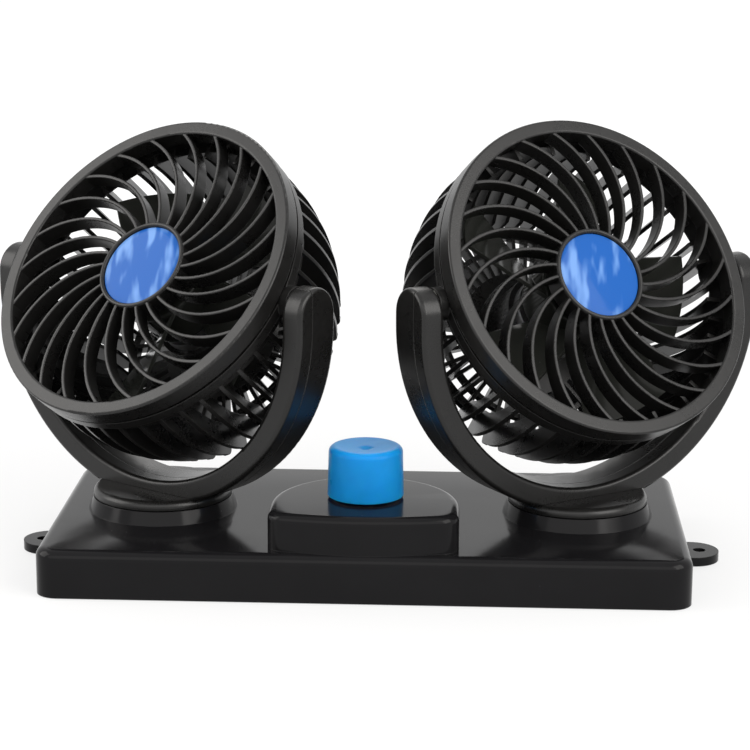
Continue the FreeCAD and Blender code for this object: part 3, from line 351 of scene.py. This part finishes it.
def cells(wiring, spacing, distance="EUCLIDEAN", randomness=1.0):
    """How far the nearest of many scattered points is, counted in their spacing."""
    sockets = {"Vector": place(wiring), "Scale": 1.0 / spacing, "Randomness": randomness}
    return wiring.node("ShaderNodeTexVoronoi", {"distance": distance}, sockets, "Distance")


def rounded_normal(wiring, radius):
    """The surface's normal with its sharp edges rounded to a radius."""
    return wiring.node("ShaderNodeBevel", {"samples": EDGE_SAMPLES}, {"Radius": radius})


def edge_mask(wiring, rounded):
    """1 on a sharp edge and 0 on a flat or gently curved face."""
    true_normal = wiring.node("ShaderNodeNewGeometry", {}, {}, "Normal")
    operation = {"operation": "DOT_PRODUCT"}
    agreement = wiring.node("ShaderNodeVectorMath", operation, {0: rounded, 1: true_normal}, "Value")
    return between(wiring, 1 - agreement, EDGE_FROM, EDGE_FULL)


def bumped(wiring, height, depth, strength, normal=None):
    """A normal shaken by a height pattern of a real depth in metres."""
    sockets = {"Height": height, "Distance": depth, "Strength": strength}
    if normal is not None:
        sockets["Normal"] = normal
    return wiring.node("ShaderNodeBump", {}, sockets)


print("patterns ready")

# %% [markdown]
# ## Satin black
# The rings, vanes, cages and yokes are black plastic from a tool with a fine spark grain, so
# they shine softly and a little unevenly. A rough shader alone looks like paint. Clouds in
# the roughness and a grain finer than half a millimetre make it plastic, and a paler colour on
# the edges is a painted highlight. Its specular level is under the usual half, because a white
# room all round would turn it grey.

# %% Satin black
SATIN_DARK = (0.0072, 0.0070, 0.0068)
SATIN_LIGHT = (0.0098, 0.0094, 0.0090)
# Painted highlight: this paler colour is laid on every sharp edge to stand in for the bright edge lines of the
# lamps.
SATIN_EDGE_HIGHLIGHT = (0.050, 0.048, 0.046)
SATIN_EDGE = 0.00035
SATIN_SPECULAR = 0.36
SATIN_FLOW_SIZE = 0.018
SATIN_MOTTLE_SIZE = 0.0016
SATIN_GRAIN_SIZE = 0.00045
SATIN_DARK_UNDER = 0.7
SATIN_LIGHT_OVER = 1.3
SATIN_EDGE_HIGHLIGHT_SHARE = 0.38
SATIN_ROUGHNESS = 0.16
SATIN_FLOW_DULLING = 0.16
SATIN_MOTTLE_DULLING = 0.11
SATIN_MOTTLE_HEIGHT = 0.3
SATIN_GRAIN_HEIGHT = 0.5
SATIN_RELIEF = 0.00010
SATIN_BUMP = 0.20

finishes = {}
satin_black, satin = new_finish("satin_black")
satin_flow = clouds(satin, SATIN_FLOW_SIZE, FINE_DETAIL)
satin_mottle = clouds(satin, SATIN_MOTTLE_SIZE, FINE_DETAIL)
satin_grain = clouds(satin, SATIN_GRAIN_SIZE, SOME_DETAIL)
satin_round = rounded_normal(satin, SATIN_EDGE)
satin_tone = between(satin, satin_flow + satin_mottle, SATIN_DARK_UNDER, SATIN_LIGHT_OVER)
satin_body = satin.blend(satin_tone, SATIN_DARK, SATIN_LIGHT)
# Painted highlight: the edge mask lightens the colour on every sharp edge.
satin_edge_highlight = SATIN_EDGE_HIGHLIGHT_SHARE * edge_mask(satin, satin_round)
satin_height = SATIN_MOTTLE_HEIGHT * satin_mottle + SATIN_GRAIN_HEIGHT * satin_grain
show(
    satin,
    Base_Color=satin.blend(satin_edge_highlight, satin_body, SATIN_EDGE_HIGHLIGHT),
    Roughness=SATIN_ROUGHNESS + SATIN_FLOW_DULLING * satin_flow + SATIN_MOTTLE_DULLING * satin_mottle,
    Specular_IOR_Level=SATIN_SPECULAR,
    Normal=bumped(satin, satin_height, SATIN_RELIEF, SATIN_BUMP, satin_round),
)
finishes["satin_black"] = satin_black
print(satin_black.name)

# %% [markdown]
# ## Gloss black
# The base is moulded in a polished tool, so its top mirrors the yokes and the knob. Large
# flat mouldings sink a little as they cool, which bends the reflections, and a polished
# surface picks up haze and dust. Slow noise in the bump gives the first, slow noise in the
# roughness the haze, and the rare centres of a cell pattern the dust. Its specular level is
# lower still than the satin's, since the top is seen at a slant, where every surface mirrors
# more. The fan blades get the same recipe in a slightly paler, smoky black.

# %% Gloss black
GLOSS_DUST = (0.16, 0.16, 0.16)
GLOSS_EDGE = 0.0004
GLOSS_SPECULAR = 0.12
HAZE_SIZE = 0.022
HAZE_FROM = 0.40
HAZE_FULL = 0.80
HAZE_DULLING = 0.09
SINK_SIZE = 0.030
SINK_DEPTH = 0.0006
SINK_BUMP = 0.10
DUST_SPACING = 0.006
DUST_CORE = 0.018
DUST_RIM = 0.035
DUSTY_FROM = 0.5
DUSTY_FULL = 0.6
DUST_COVER = 0.6
DUST_DULLING = 0.4


def polished_finish(name, dark, light, roughness):
    """A polished plastic of two close tones with haze, sink marks and dust."""
    material, wiring = new_finish(name)
    haze = clouds(wiring, HAZE_SIZE, FINE_DETAIL)
    sink = clouds(wiring, SINK_SIZE, SMOOTH_DETAIL)
    specks = 1 - between(wiring, cells(wiring, DUST_SPACING), DUST_CORE, DUST_RIM)
    dust = specks * between(wiring, haze, DUSTY_FROM, DUSTY_FULL)
    dulled = HAZE_DULLING * between(wiring, haze, HAZE_FROM, HAZE_FULL)
    show(
        wiring,
        Base_Color=wiring.blend(DUST_COVER * dust, wiring.blend(haze, dark, light), GLOSS_DUST),
        Roughness=roughness + dulled + DUST_DULLING * dust,
        Specular_IOR_Level=GLOSS_SPECULAR,
        Normal=bumped(wiring, sink, SINK_DEPTH, SINK_BUMP, rounded_normal(wiring, GLOSS_EDGE)),
    )
    finishes[name] = material
    print(name)


polished_finish(
    "gloss_black", dark=(0.0060, 0.0058, 0.0064), light=(0.0095, 0.0092, 0.0100), roughness=0.13)
polished_finish(
    "blade_smoke", dark=(0.015, 0.016, 0.014), light=(0.024, 0.025, 0.022), roughness=0.10)

# %% [markdown]
# ## The blue knob
# The knob is moulded in a tinted see-through plastic that is thick enough to glow rather
# than to show what is inside. Clear glass nodes would be too clear, so light scatters under
# the skin instead, and furthest in blue.

# %% Blue knob plastic
KNOB_DEEP = (0.007, 0.225, 0.56)
KNOB_PALE = (0.012, 0.300, 0.72)
KNOB_FLOW_SIZE = 0.009
KNOB_ROUGHNESS = 0.24
KNOB_FLOW_DULLING = 0.12
KNOB_SPECULAR = 0.10
KNOB_SCATTERING = 0.6
KNOB_SCATTER_COLOURS = (0.15, 0.45, 1.0)
KNOB_SCATTER_REACH = 0.005
KNOB_SKIN_SIZE = 0.0012
KNOB_SKIN_DEPTH = 0.00004
KNOB_SKIN_BUMP = 0.2

knob_blue, knob_tint = new_finish("knob_blue")
knob_flow = clouds(knob_tint, KNOB_FLOW_SIZE, SOME_DETAIL)
knob_skin = clouds(knob_tint, KNOB_SKIN_SIZE, SOME_DETAIL)
show(
    knob_tint,
    Base_Color=knob_tint.blend(knob_flow, KNOB_DEEP, KNOB_PALE),
    Roughness=KNOB_ROUGHNESS + KNOB_FLOW_DULLING * knob_flow,
    Specular_IOR_Level=KNOB_SPECULAR,
    Subsurface_Weight=KNOB_SCATTERING,
    Subsurface_Radius=KNOB_SCATTER_COLOURS,
    Subsurface_Scale=KNOB_SCATTER_REACH,
    Normal=bumped(knob_tint, knob_skin, KNOB_SKIN_DEPTH, KNOB_SKIN_BUMP),
)
finishes["knob_blue"] = knob_blue
print(knob_blue.name)

# %% [markdown]
# ## The blue badges
# The hub badges are plain discs under a domed clear layer. Pale soft slanting streaks in the
# blue are a painted sheen, and a thin coat over it gives the wet shine.

# %% Blue badge plastic
BADGE_DEEP = (0.014, 0.099, 0.38)
# Painted sheen: the pale blue of the slanting streaks stands in for reflections on the badge.
BADGE_SHEEN_BLUE = (0.140, 0.290, 0.62)
STREAK_STRETCH = (190, 60, 40)
STREAK_TURN = (0.0, 0.6, 0.0)
STREAK_FROM = 0.44
STREAK_FULL = 0.62
STREAK_DULLING = 0.08
BADGE_ROUGHNESS = 0.12
BADGE_SPECULAR = 0.06
BADGE_COAT = 0.12
BADGE_COAT_ROUGHNESS = 0.03
BADGE_WAVE_SIZE = 0.007
BADGE_WAVE_DEPTH = 0.0006
BADGE_WAVE_BUMP = 0.12

badge_blue, badge = new_finish("badge_blue")
sheen_streak_place = stretched_place(badge, STREAK_STRETCH, STREAK_TURN)
# Painted sheen: stretched noise lays pale slanting streaks in the blue, as a reflection would.
sheen_streaks = clouds(badge, ONE_BLOT, SOME_DETAIL, sheen_streak_place)
badge_wave = clouds(badge, BADGE_WAVE_SIZE, SMOOTH_DETAIL)
show(
    badge,
    Base_Color=badge.blend(between(badge, sheen_streaks, STREAK_FROM, STREAK_FULL), BADGE_DEEP, BADGE_SHEEN_BLUE),
    Roughness=BADGE_ROUGHNESS + STREAK_DULLING * sheen_streaks,
    Specular_IOR_Level=BADGE_SPECULAR,
    Coat_Weight=BADGE_COAT,
    Coat_Roughness=BADGE_COAT_ROUGHNESS,
    Normal=bumped(badge, badge_wave, BADGE_WAVE_DEPTH, BADGE_WAVE_BUMP),
)
finishes["badge_blue"] = badge_blue
print(badge_blue.name)

# %% [markdown]
# ## Rubber, foam, nylon and grey plastic
# The feet and the cable grommet are matt rubber, the mounting pad is pale open foam, the
# washers are natural nylon, and the switch, the parts on the board, the retainers and the
# motors' end caps are plain grey plastic. All of them scatter light softly, so one recipe
# serves them: two tones of one colour, a rough shine, and pores or grain of the right size
# as a bump.

# %% Soft and moulded small parts
MOULDED_DULLING = 0.15
PORE_BUMP = 0.4


def moulded_finish(name, dark, light, roughness, blot, pore, pore_depth):
    """A matt moulded material: two tones, uneven shine and small pores."""
    material, wiring = new_finish(name)
    flow = clouds(wiring, blot, FINE_DETAIL)
    show(
        wiring,
        Base_Color=wiring.blend(flow, dark, light),
        Roughness=roughness + MOULDED_DULLING * flow,
        Normal=bumped(wiring, cells(wiring, pore), pore_depth, PORE_BUMP),
    )
    finishes[name] = material
    print(name)


moulded_finish(
    "pad_rubber", dark=(0.018, 0.018, 0.018), light=(0.034, 0.033, 0.032),
    roughness=0.62, blot=0.006, pore=0.0005, pore_depth=0.00005)
moulded_finish(
    "tape_foam", dark=(0.56, 0.56, 0.54), light=(0.68, 0.68, 0.66),
    roughness=0.80, blot=0.010, pore=0.0012, pore_depth=0.0003)
moulded_finish(
    "washer_nylon", dark=(0.68, 0.67, 0.62), light=(0.78, 0.77, 0.73),
    roughness=0.35, blot=0.004, pore=0.0006, pore_depth=0.00003)
moulded_finish(
    "part_grey", dark=(0.060, 0.060, 0.066), light=(0.095, 0.095, 0.105),
    roughness=0.42, blot=0.006, pore=0.0005, pore_depth=0.00003)

# %% [markdown]
# ## Metals
# The screws are zinc plated, the motor cans, shafts and pins are drawn or ground steel, the
# bearing is sintered bronze and the rotor shows lacquered copper. A metal's colour tints its
# reflection, so the variation that counts is in the roughness: fine lines where it was
# drawn or brushed, and soft spots where the plating is dull.

# %% Metals
DULL_SPOT_SIZE = 0.004
DULL_SPOT_DULLING = 0.16
LINE_DULLING = 0.08
LINE_BUMP = 0.25


def metal_finish(name, dark, light, roughness, lines_per_metre, line_depth):
    """A metal with fine lines, as many to the metre along each axis as given."""
    material, wiring = new_finish(name)
    dull = clouds(wiring, DULL_SPOT_SIZE, FINE_DETAIL)
    lines = clouds(wiring, ONE_BLOT, FINE_DETAIL, stretched_place(wiring, lines_per_metre))
    show(
        wiring,
        Base_Color=wiring.blend(dull, dark, light),
        Metallic=1.0,
        Roughness=roughness + DULL_SPOT_DULLING * dull + LINE_DULLING * lines,
        Normal=bumped(wiring, lines, line_depth, LINE_BUMP),
    )
    finishes[name] = material
    print(name)


metal_finish(
    "screw_steel", dark=(0.36, 0.36, 0.37), light=(0.50, 0.50, 0.51),
    roughness=0.24, lines_per_metre=(1800, 1800, 1800), line_depth=0.00002)
metal_finish(
    "motor_steel", dark=(0.46, 0.46, 0.47), light=(0.60, 0.60, 0.61),
    roughness=0.22, lines_per_metre=(300, 300, 3000), line_depth=0.00002)
metal_finish(
    "bush_bronze", dark=(0.50, 0.33, 0.15), light=(0.68, 0.47, 0.23),
    roughness=0.36, lines_per_metre=(2500, 2500, 2500), line_depth=0.00003)
metal_finish(
    "rotor_copper", dark=(0.42, 0.17, 0.07), light=(0.62, 0.28, 0.12),
    roughness=0.26, lines_per_metre=(400, 400, 3500), line_depth=0.00008)

# %% [markdown]
# ## The circuit board
# The board in the base is green solder mask over copper tracks. Tracks could be modelled,
# but they are a few hundredths of a millimetre high and shut in the base, so a square-cell
# pattern in the colour and the bump is enough to tell it from a green plate.

# %% Circuit board
MASK_GREEN = (0.012, 0.120, 0.045)
TRACK_GREEN = (0.030, 0.215, 0.080)
TRACK_PITCH = 0.0025
TRACK_SCATTER = 0.6
TRACK_FROM = 0.30
TRACK_FULL = 0.36
TRACK_HEIGHT = 0.00005
TRACK_BUMP = 0.5
TRACK_DULLING = 0.10
BOARD_ROUGHNESS = 0.28

board_green, board = new_finish("board_green")
track_cells = cells(board, TRACK_PITCH, "CHEBYCHEV", TRACK_SCATTER)
tracks = between(board, track_cells, TRACK_FROM, TRACK_FULL)
show(
    board,
    Base_Color=board.blend(tracks, MASK_GREEN, TRACK_GREEN),
    Roughness=BOARD_ROUGHNESS + TRACK_DULLING * tracks,
    Normal=bumped(board, tracks, TRACK_HEIGHT, TRACK_BUMP),
)
finishes["board_green"] = board_green
print(board_green.name)

# %% [markdown]
# ## Dressing the CAD nodes
# Every CAD node names a material slot in the record. Its mesh stays as it is, and only the
# material in its slot changes, so one loop dresses the whole frame.

# %% Dress the nodes
for part in RECORD["subparts"]:
    mesh_slots = frame["nodes"][part["node"]].data.materials
    mesh_slots.clear()
    mesh_slots.append(finishes[part["material_slot"]])
print("dressed", len(RECORD["subparts"]), "nodes")

# %% [markdown]
# ## Turned pieces
# The knob, the hub badges and the lips round them are round about one axis. A lathe form
# could come from a Screw modifier, but a spin in bmesh leaves a real mesh whose edges can be
# bevelled at once. A few profile points are spun a full turn, the seam and the poles are
# merged, and the normals are recalculated because a spin may leave them pointing inwards.

# %% Turning on a lathe
TURN_STEPS = 96
WELD = 1e-6


def turned(profile):
    """A closed form of revolution about Z from (radius, height) points."""
    form = bmesh.new()
    points = [form.verts.new((radius, 0, height)) for radius, height in profile]
    lines = [form.edges.new(pair) for pair in zip(points, points[1:])]
    bmesh.ops.spin(
        form, geom=points + lines, cent=(0, 0, 0), axis=(0, 0, 1), dvec=(0, 0, 0),
        angle=math.tau, steps=TURN_STEPS, use_merge=True, use_duplicate=False)
    bmesh.ops.remove_doubles(form, verts=form.verts, dist=WELD)
    bmesh.ops.dissolve_degenerate(form, edges=form.edges, dist=WELD)
    bmesh.ops.recalc_face_normals(form, faces=form.faces)
    return form


def soften(form, edges, width, segments):
    """Rounds edges of a form."""
    bmesh.ops.bevel(
        form, geom=edges, offset=width, offset_type="OFFSET", segments=segments,
        profile=0.5, affect="EDGES", material=-1, clamp_overlap=True)


def finish_piece(name, form, body, slot, node=None, finish=None):
    """Makes the piece smooth, lets it ride on its body and stand for a CAD node, if any."""
    for face in form.faces:
        face.smooth = True
    bmesh.ops.recalc_face_normals(form, faces=form.faces)
    piece = new_object(name, form, finishes[finish or slot])
    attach(piece, body)
    if node:
        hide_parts(node)
    print(name, len(piece.data.vertices), "vertices on", body)


print("lathe ready")

# %% [markdown]
# ## Smooth skins
# A CAD mesh is loose triangles, so on polished plastic a round collar shows its facets. The
# shape is right, so the piece that stands for it is a copy: its points are merged, all its
# faces shade smoothly, and the edges that are edges on the real thing stay sharp.

# %% Smooth skins
SIDES = ("left", "right")
SKIN_WELD = 1e-5
CREASE = math.radians(32)


def merged(node):
    """A copy of a CAD node as one joined form, without the import's own normals."""
    copy = frame["nodes"][node].data.copy()
    copy.attributes.remove(copy.attributes["custom_normal"])
    form = bmesh.new()
    form.from_mesh(copy)
    bpy.data.meshes.remove(copy)
    bmesh.ops.remove_doubles(form, verts=form.verts, dist=SKIN_WELD)
    return form


def smooth_skin(name, node, body, slot, finish=None):
    """Stands for a CAD node with a copy whose curved faces shade as one."""
    form = merged(node)
    for edge in form.edges:
        edge.smooth = edge.is_manifold and edge.calc_face_angle() < CREASE
    finish_piece(name, form, body, slot, node, finish)


smooth_skin("base_shell", "base_housing", "base", "gloss_black")
for side in SIDES:
    smooth_skin(side + "_blades", side + "_impeller", side + "_fan", "gloss_black", "blade_smoke")

# %% [markdown]
# ## The speed knob
# The knob is a short tapered cap with a rounded top edge, a dished top that a fingertip
# finds, and a soft dimple at its centre. Underneath it is hollow, with a socket that the
# switch shaft enters. All of that is one profile on the lathe; its size is read from the
# CAD node, and the edges are rounded by bevels.

# %% Speed knob
KNOB_TAPER = 0.0004
KNOB_TOP_ROUND = 0.0021
KNOB_TOP_STEPS = 6
KNOB_FOOT_ROUND = 0.0003
KNOB_FOOT_STEPS = 2
KNOB_WALL = 0.0022
KNOB_CAVITY = 0.0050
KNOB_DISH_RADIUS = 0.0104
KNOB_DISH_DEPTH = 0.0009
KNOB_DIMPLE_RADIUS = 0.0034
KNOB_DIMPLE_DEPTH = 0.0009
DISH_RINGS = 20
SHAFT_RADIUS = 0.0025
RING_TOLERANCE = 1e-5


def ring_edges(form, radius, height):
    """The edges of a turned form that lie on one ring."""

    def on_ring(point):
        level_with = abs(point.z - height) < RING_TOLERANCE
        return level_with and abs(point.xy.length - radius) < RING_TOLERANCE

    return [edge for edge in form.edges if all(on_ring(vert.co) for vert in edge.verts)]


knob_low, knob_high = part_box("speed_knob")
shaft_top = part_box("switch_shaft")[1].z
knob_radius = (knob_high.x - knob_low.x) / 2
knob_top_radius = knob_radius - KNOB_TAPER
knob_inside = knob_top_radius - KNOB_WALL
knob_profile = [
    (0, shaft_top),
    (SHAFT_RADIUS, shaft_top),
    (SHAFT_RADIUS, knob_low.z + KNOB_CAVITY),
    (knob_inside, knob_low.z + KNOB_CAVITY),
    (knob_inside, knob_low.z),
    (knob_radius, knob_low.z),
    (knob_top_radius, knob_high.z),
]
for ring in range(DISH_RINGS + 1):
    out = KNOB_DISH_RADIUS * (1 - ring / DISH_RINGS)
    dish = KNOB_DISH_DEPTH * (1 - (out / KNOB_DISH_RADIUS) ** 2)
    dimple = KNOB_DIMPLE_DEPTH * (1 + math.cos(math.pi * min(out / KNOB_DIMPLE_RADIUS, 1))) / 2
    knob_profile.append((out, knob_high.z - dish - dimple))
knob_form = turned(knob_profile)
soften(knob_form, ring_edges(knob_form, knob_top_radius, knob_high.z), KNOB_TOP_ROUND, KNOB_TOP_STEPS)
soften(knob_form, ring_edges(knob_form, knob_radius, knob_low.z), KNOB_FOOT_ROUND, KNOB_FOOT_STEPS)
knob_centre = (knob_low + knob_high) / 2
bmesh.ops.translate(knob_form, verts=knob_form.verts, vec=(knob_centre.x, knob_centre.y, 0))
finish_piece("knob_cap", knob_form, "knob", "knob_blue", "speed_knob")

# %% [markdown]
# ## The hub badges
# Each hub carries a plain blue disc under a poured clear dome. Its place is the middle of
# the CAD disc's box, and its axis is the fan's own axis from the joint list, so it sits
# square in the tilted hub. Round the disc the hub ends in a rounded lip. A flat rim would
# mirror a lamp as one grey band, so a half-round ring is turned and set on it.

# %% Hub badges
BADGE_RADIUS = 0.0156
BADGE_BACK = 0.00045
BADGE_EDGE = 0.00010
BADGE_DOME = 0.00055
BADGE_RIM_ROUND = 0.0003
BADGE_RIM_STEPS = 3
DOME_RINGS = 7
LIP_RADIUS = 0.01648
LIP_HALF_WIDTH = 0.00072
LIP_FOOT = 0.00055
LIP_HEIGHT = 0.00060
LIP_RINGS = 10
UPWARD = Vector((0, 0, 1))

joints = {joint["name"]: joint for joint in frame["joints"]}


def joint_axis(name):
    """The unit axis of a joint at rest."""
    return Vector(joints[name]["axis"]).normalized()


def square_to(axis, centre):
    """The matrix that turns a form's Z to an axis and moves its origin to a place."""
    return Matrix.Translation(centre) @ UPWARD.rotation_difference(axis).to_matrix().to_4x4()


def badge_dome():
    """A disc with a flat back, a gently domed face and a rounded rim."""
    profile = [(0, -BADGE_BACK), (BADGE_RADIUS, -BADGE_BACK), (BADGE_RADIUS, BADGE_EDGE)]
    for ring in range(1, DOME_RINGS):
        share = 1 - ring / DOME_RINGS
        dome_height = BADGE_EDGE + (BADGE_DOME - BADGE_EDGE) * (1 - share ** 2)
        profile.append((BADGE_RADIUS * share, dome_height))
    form = turned(profile + [(0, BADGE_DOME)])
    soften(form, ring_edges(form, BADGE_RADIUS, BADGE_EDGE), BADGE_RIM_ROUND, BADGE_RIM_STEPS)
    return form


def hub_lip():
    """A ring with a half-round top on a flat foot."""
    profile = []
    for ring in range(LIP_RINGS + 1):
        angle = math.pi * ring / LIP_RINGS
        lip_out = LIP_RADIUS + LIP_HALF_WIDTH * math.cos(angle)
        profile.append((lip_out, LIP_FOOT + LIP_HEIGHT * math.sin(angle)))
    return turned(profile + profile[:1])


for side in SIDES:
    badge_low, badge_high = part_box(side + "_hub_badge")
    hub_place = square_to(joint_axis(side + "_fan_spin"), (badge_low + badge_high) / 2)
    badge_form = badge_dome()
    bmesh.ops.transform(badge_form, matrix=hub_place, verts=badge_form.verts)
    finish_piece(side + "_badge_dome", badge_form, side + "_head", "badge_blue", side + "_hub_badge")
    lip_form = hub_lip()
    bmesh.ops.transform(lip_form, matrix=hub_place, verts=lip_form.verts)
    finish_piece(side + "_hub_lip", lip_form, side + "_head", "satin_black")

# %% [markdown]
# ## Cross-head screws
# Small pan-head screws close the base, hold the yoke halves together from behind and fix the
# motors. Their CAD solids are a head on a shank. Here each head gets its cross recess: a
# square grows four arms into a plus, its outline is pulled up to the head's face, bridged to
# the rim and carried down round the head and the shank.

# %% One cross-head screw
SCREW_STEPS = 24
RECESS_REACH = 0.62
RECESS_HALF = 0.13
RECESS_DEPTH = 0.60
RECESS_FLARE = 1.06
RIM_ROUND = 0.22
RIM_STEPS = 3
BASE_SCREW = dict(head_radius=0.0027, head_height=0.0012, shank_radius=0.0014, shank_length=0.0080)
COVER_SCREW = dict(head_radius=0.0016, head_height=0.0010, shank_radius=0.0009, shank_length=0.0150)
MOTOR_SCREW = dict(head_radius=0.0022, head_height=0.0013, shank_radius=0.0012, shank_length=0.0075)


def open_edges(edges):
    """Those of the edges that lie at the rim of an open form."""
    return [edge for edge in edges if edge.is_boundary]


def pull(form, edges, vec, scale=1.0):
    """Extrudes edges, moves the new rim along and scales it about Z; gives the new rim."""
    grown = bmesh.ops.extrude_edge_only(form, edges=edges)["geom"]
    verts = [item for item in grown if isinstance(item, bmesh.types.BMVert)]
    bmesh.ops.scale(form, vec=(scale, scale, 1), verts=verts)
    bmesh.ops.translate(form, vec=vec, verts=verts)
    return open_edges(item for item in grown if isinstance(item, bmesh.types.BMEdge))


def cross_screw(head_radius, head_height, shank_radius, shank_length):
    """A pan-head screw with its face at the origin looking up Z and its shank below."""
    form = bmesh.new()
    half = head_radius * RECESS_HALF
    arm = head_radius * RECESS_REACH - half
    depth = head_height * RECESS_DEPTH
    bmesh.ops.create_grid(form, x_segments=1, y_segments=1, size=half)
    for edge in list(form.edges):
        middle = (edge.verts[0].co + edge.verts[1].co) / 2
        pull(form, [edge], middle.normalized() * arm)
    bmesh.ops.translate(form, verts=form.verts, vec=(0, 0, -depth))
    recess_rim = pull(form, open_edges(form.edges), (0, 0, depth), RECESS_FLARE)
    rim = bmesh.ops.create_circle(form, segments=SCREW_STEPS, radius=head_radius)["verts"]
    rim_edges = list(dict.fromkeys(edge for vert in rim for edge in vert.link_edges))
    bmesh.ops.bridge_loops(form, edges=recess_rim + rim_edges)
    side_rim = pull(form, rim_edges, (0, 0, -head_height))
    seat_rim = pull(form, side_rim, (0, 0, 0), shank_radius / head_radius)
    tip_rim = pull(form, seat_rim, (0, 0, -shank_length))
    bmesh.ops.contextual_create(form, geom=tip_rim)
    bmesh.ops.recalc_face_normals(form, faces=form.faces)
    soften(form, rim_edges, head_height * RIM_ROUND, RIM_STEPS)
    return form


trial = cross_screw(**MOTOR_SCREW)
print("one screw", len(trial.faces), "faces, open edges", len(open_edges(trial.edges)))
trial.free()

# %% [markdown]
# Each CAD screw node holds two or four separate screws. Walking from vertex to vertex along
# edges finds them one by one, and the middle of each one's extent across its axis is where
# the new screw goes, with its face on the old one's face.

# %% Screws in their places
DOWNWARD = Vector((0, 0, -1))


def loose_solids(node):
    """The points of each separate solid in a CAD node."""
    copy = merged(node)
    solids = []
    for first in copy.verts:
        if first.tag:
            continue
        first.tag = True
        reached = [first]
        for vert in reached:
            for edge in vert.link_edges:
                other = edge.other_vert(vert)
                if not other.tag:
                    other.tag = True
                    reached.append(other)
        solids.append([vert.co.copy() for vert in reached])
    copy.free()
    return solids


def middle_along(points, axis):
    """Half way between a solid's ends along an axis."""
    reach = [point.dot(axis) for point in points]
    return (min(reach) + max(reach)) / 2


def fit_screws(name, node, body, outward_axis, screw):
    """Replaces a CAD node of plain screws by cross-head screws that face an axis."""
    across = outward_axis.orthogonal().normalized()
    along = outward_axis.cross(across)
    pattern = bpy.data.meshes.new(name + "_pattern")
    one = cross_screw(**screw)
    one.to_mesh(pattern)
    one.free()
    screws = bmesh.new()
    for points in loose_solids(node):
        face = max(point.dot(outward_axis) for point in points)
        centre = across * middle_along(points, across) + along * middle_along(points, along)
        start = len(screws.verts)
        screws.from_mesh(pattern)
        screws.verts.ensure_lookup_table()
        spot = square_to(outward_axis, centre + outward_axis * face)
        bmesh.ops.transform(screws, matrix=spot, verts=screws.verts[start:])
    bpy.data.meshes.remove(pattern)
    finish_piece(name, screws, body, "screw_steel", node)


fit_screws("base_cross_screws", "base_screws", "base", DOWNWARD, BASE_SCREW)
for side in SIDES:
    rearward = UPWARD.cross(-joint_axis(side + "_tilt"))
    fit_screws(side + "_cover_cross_screws", side + "_cover_screws", side + "_yoke", rearward, COVER_SCREW)
    inward = -joint_axis(side + "_fan_spin")
    fit_screws(side + "_motor_cross_screws", side + "_motor_screws", side + "_head", inward, MOTOR_SCREW)
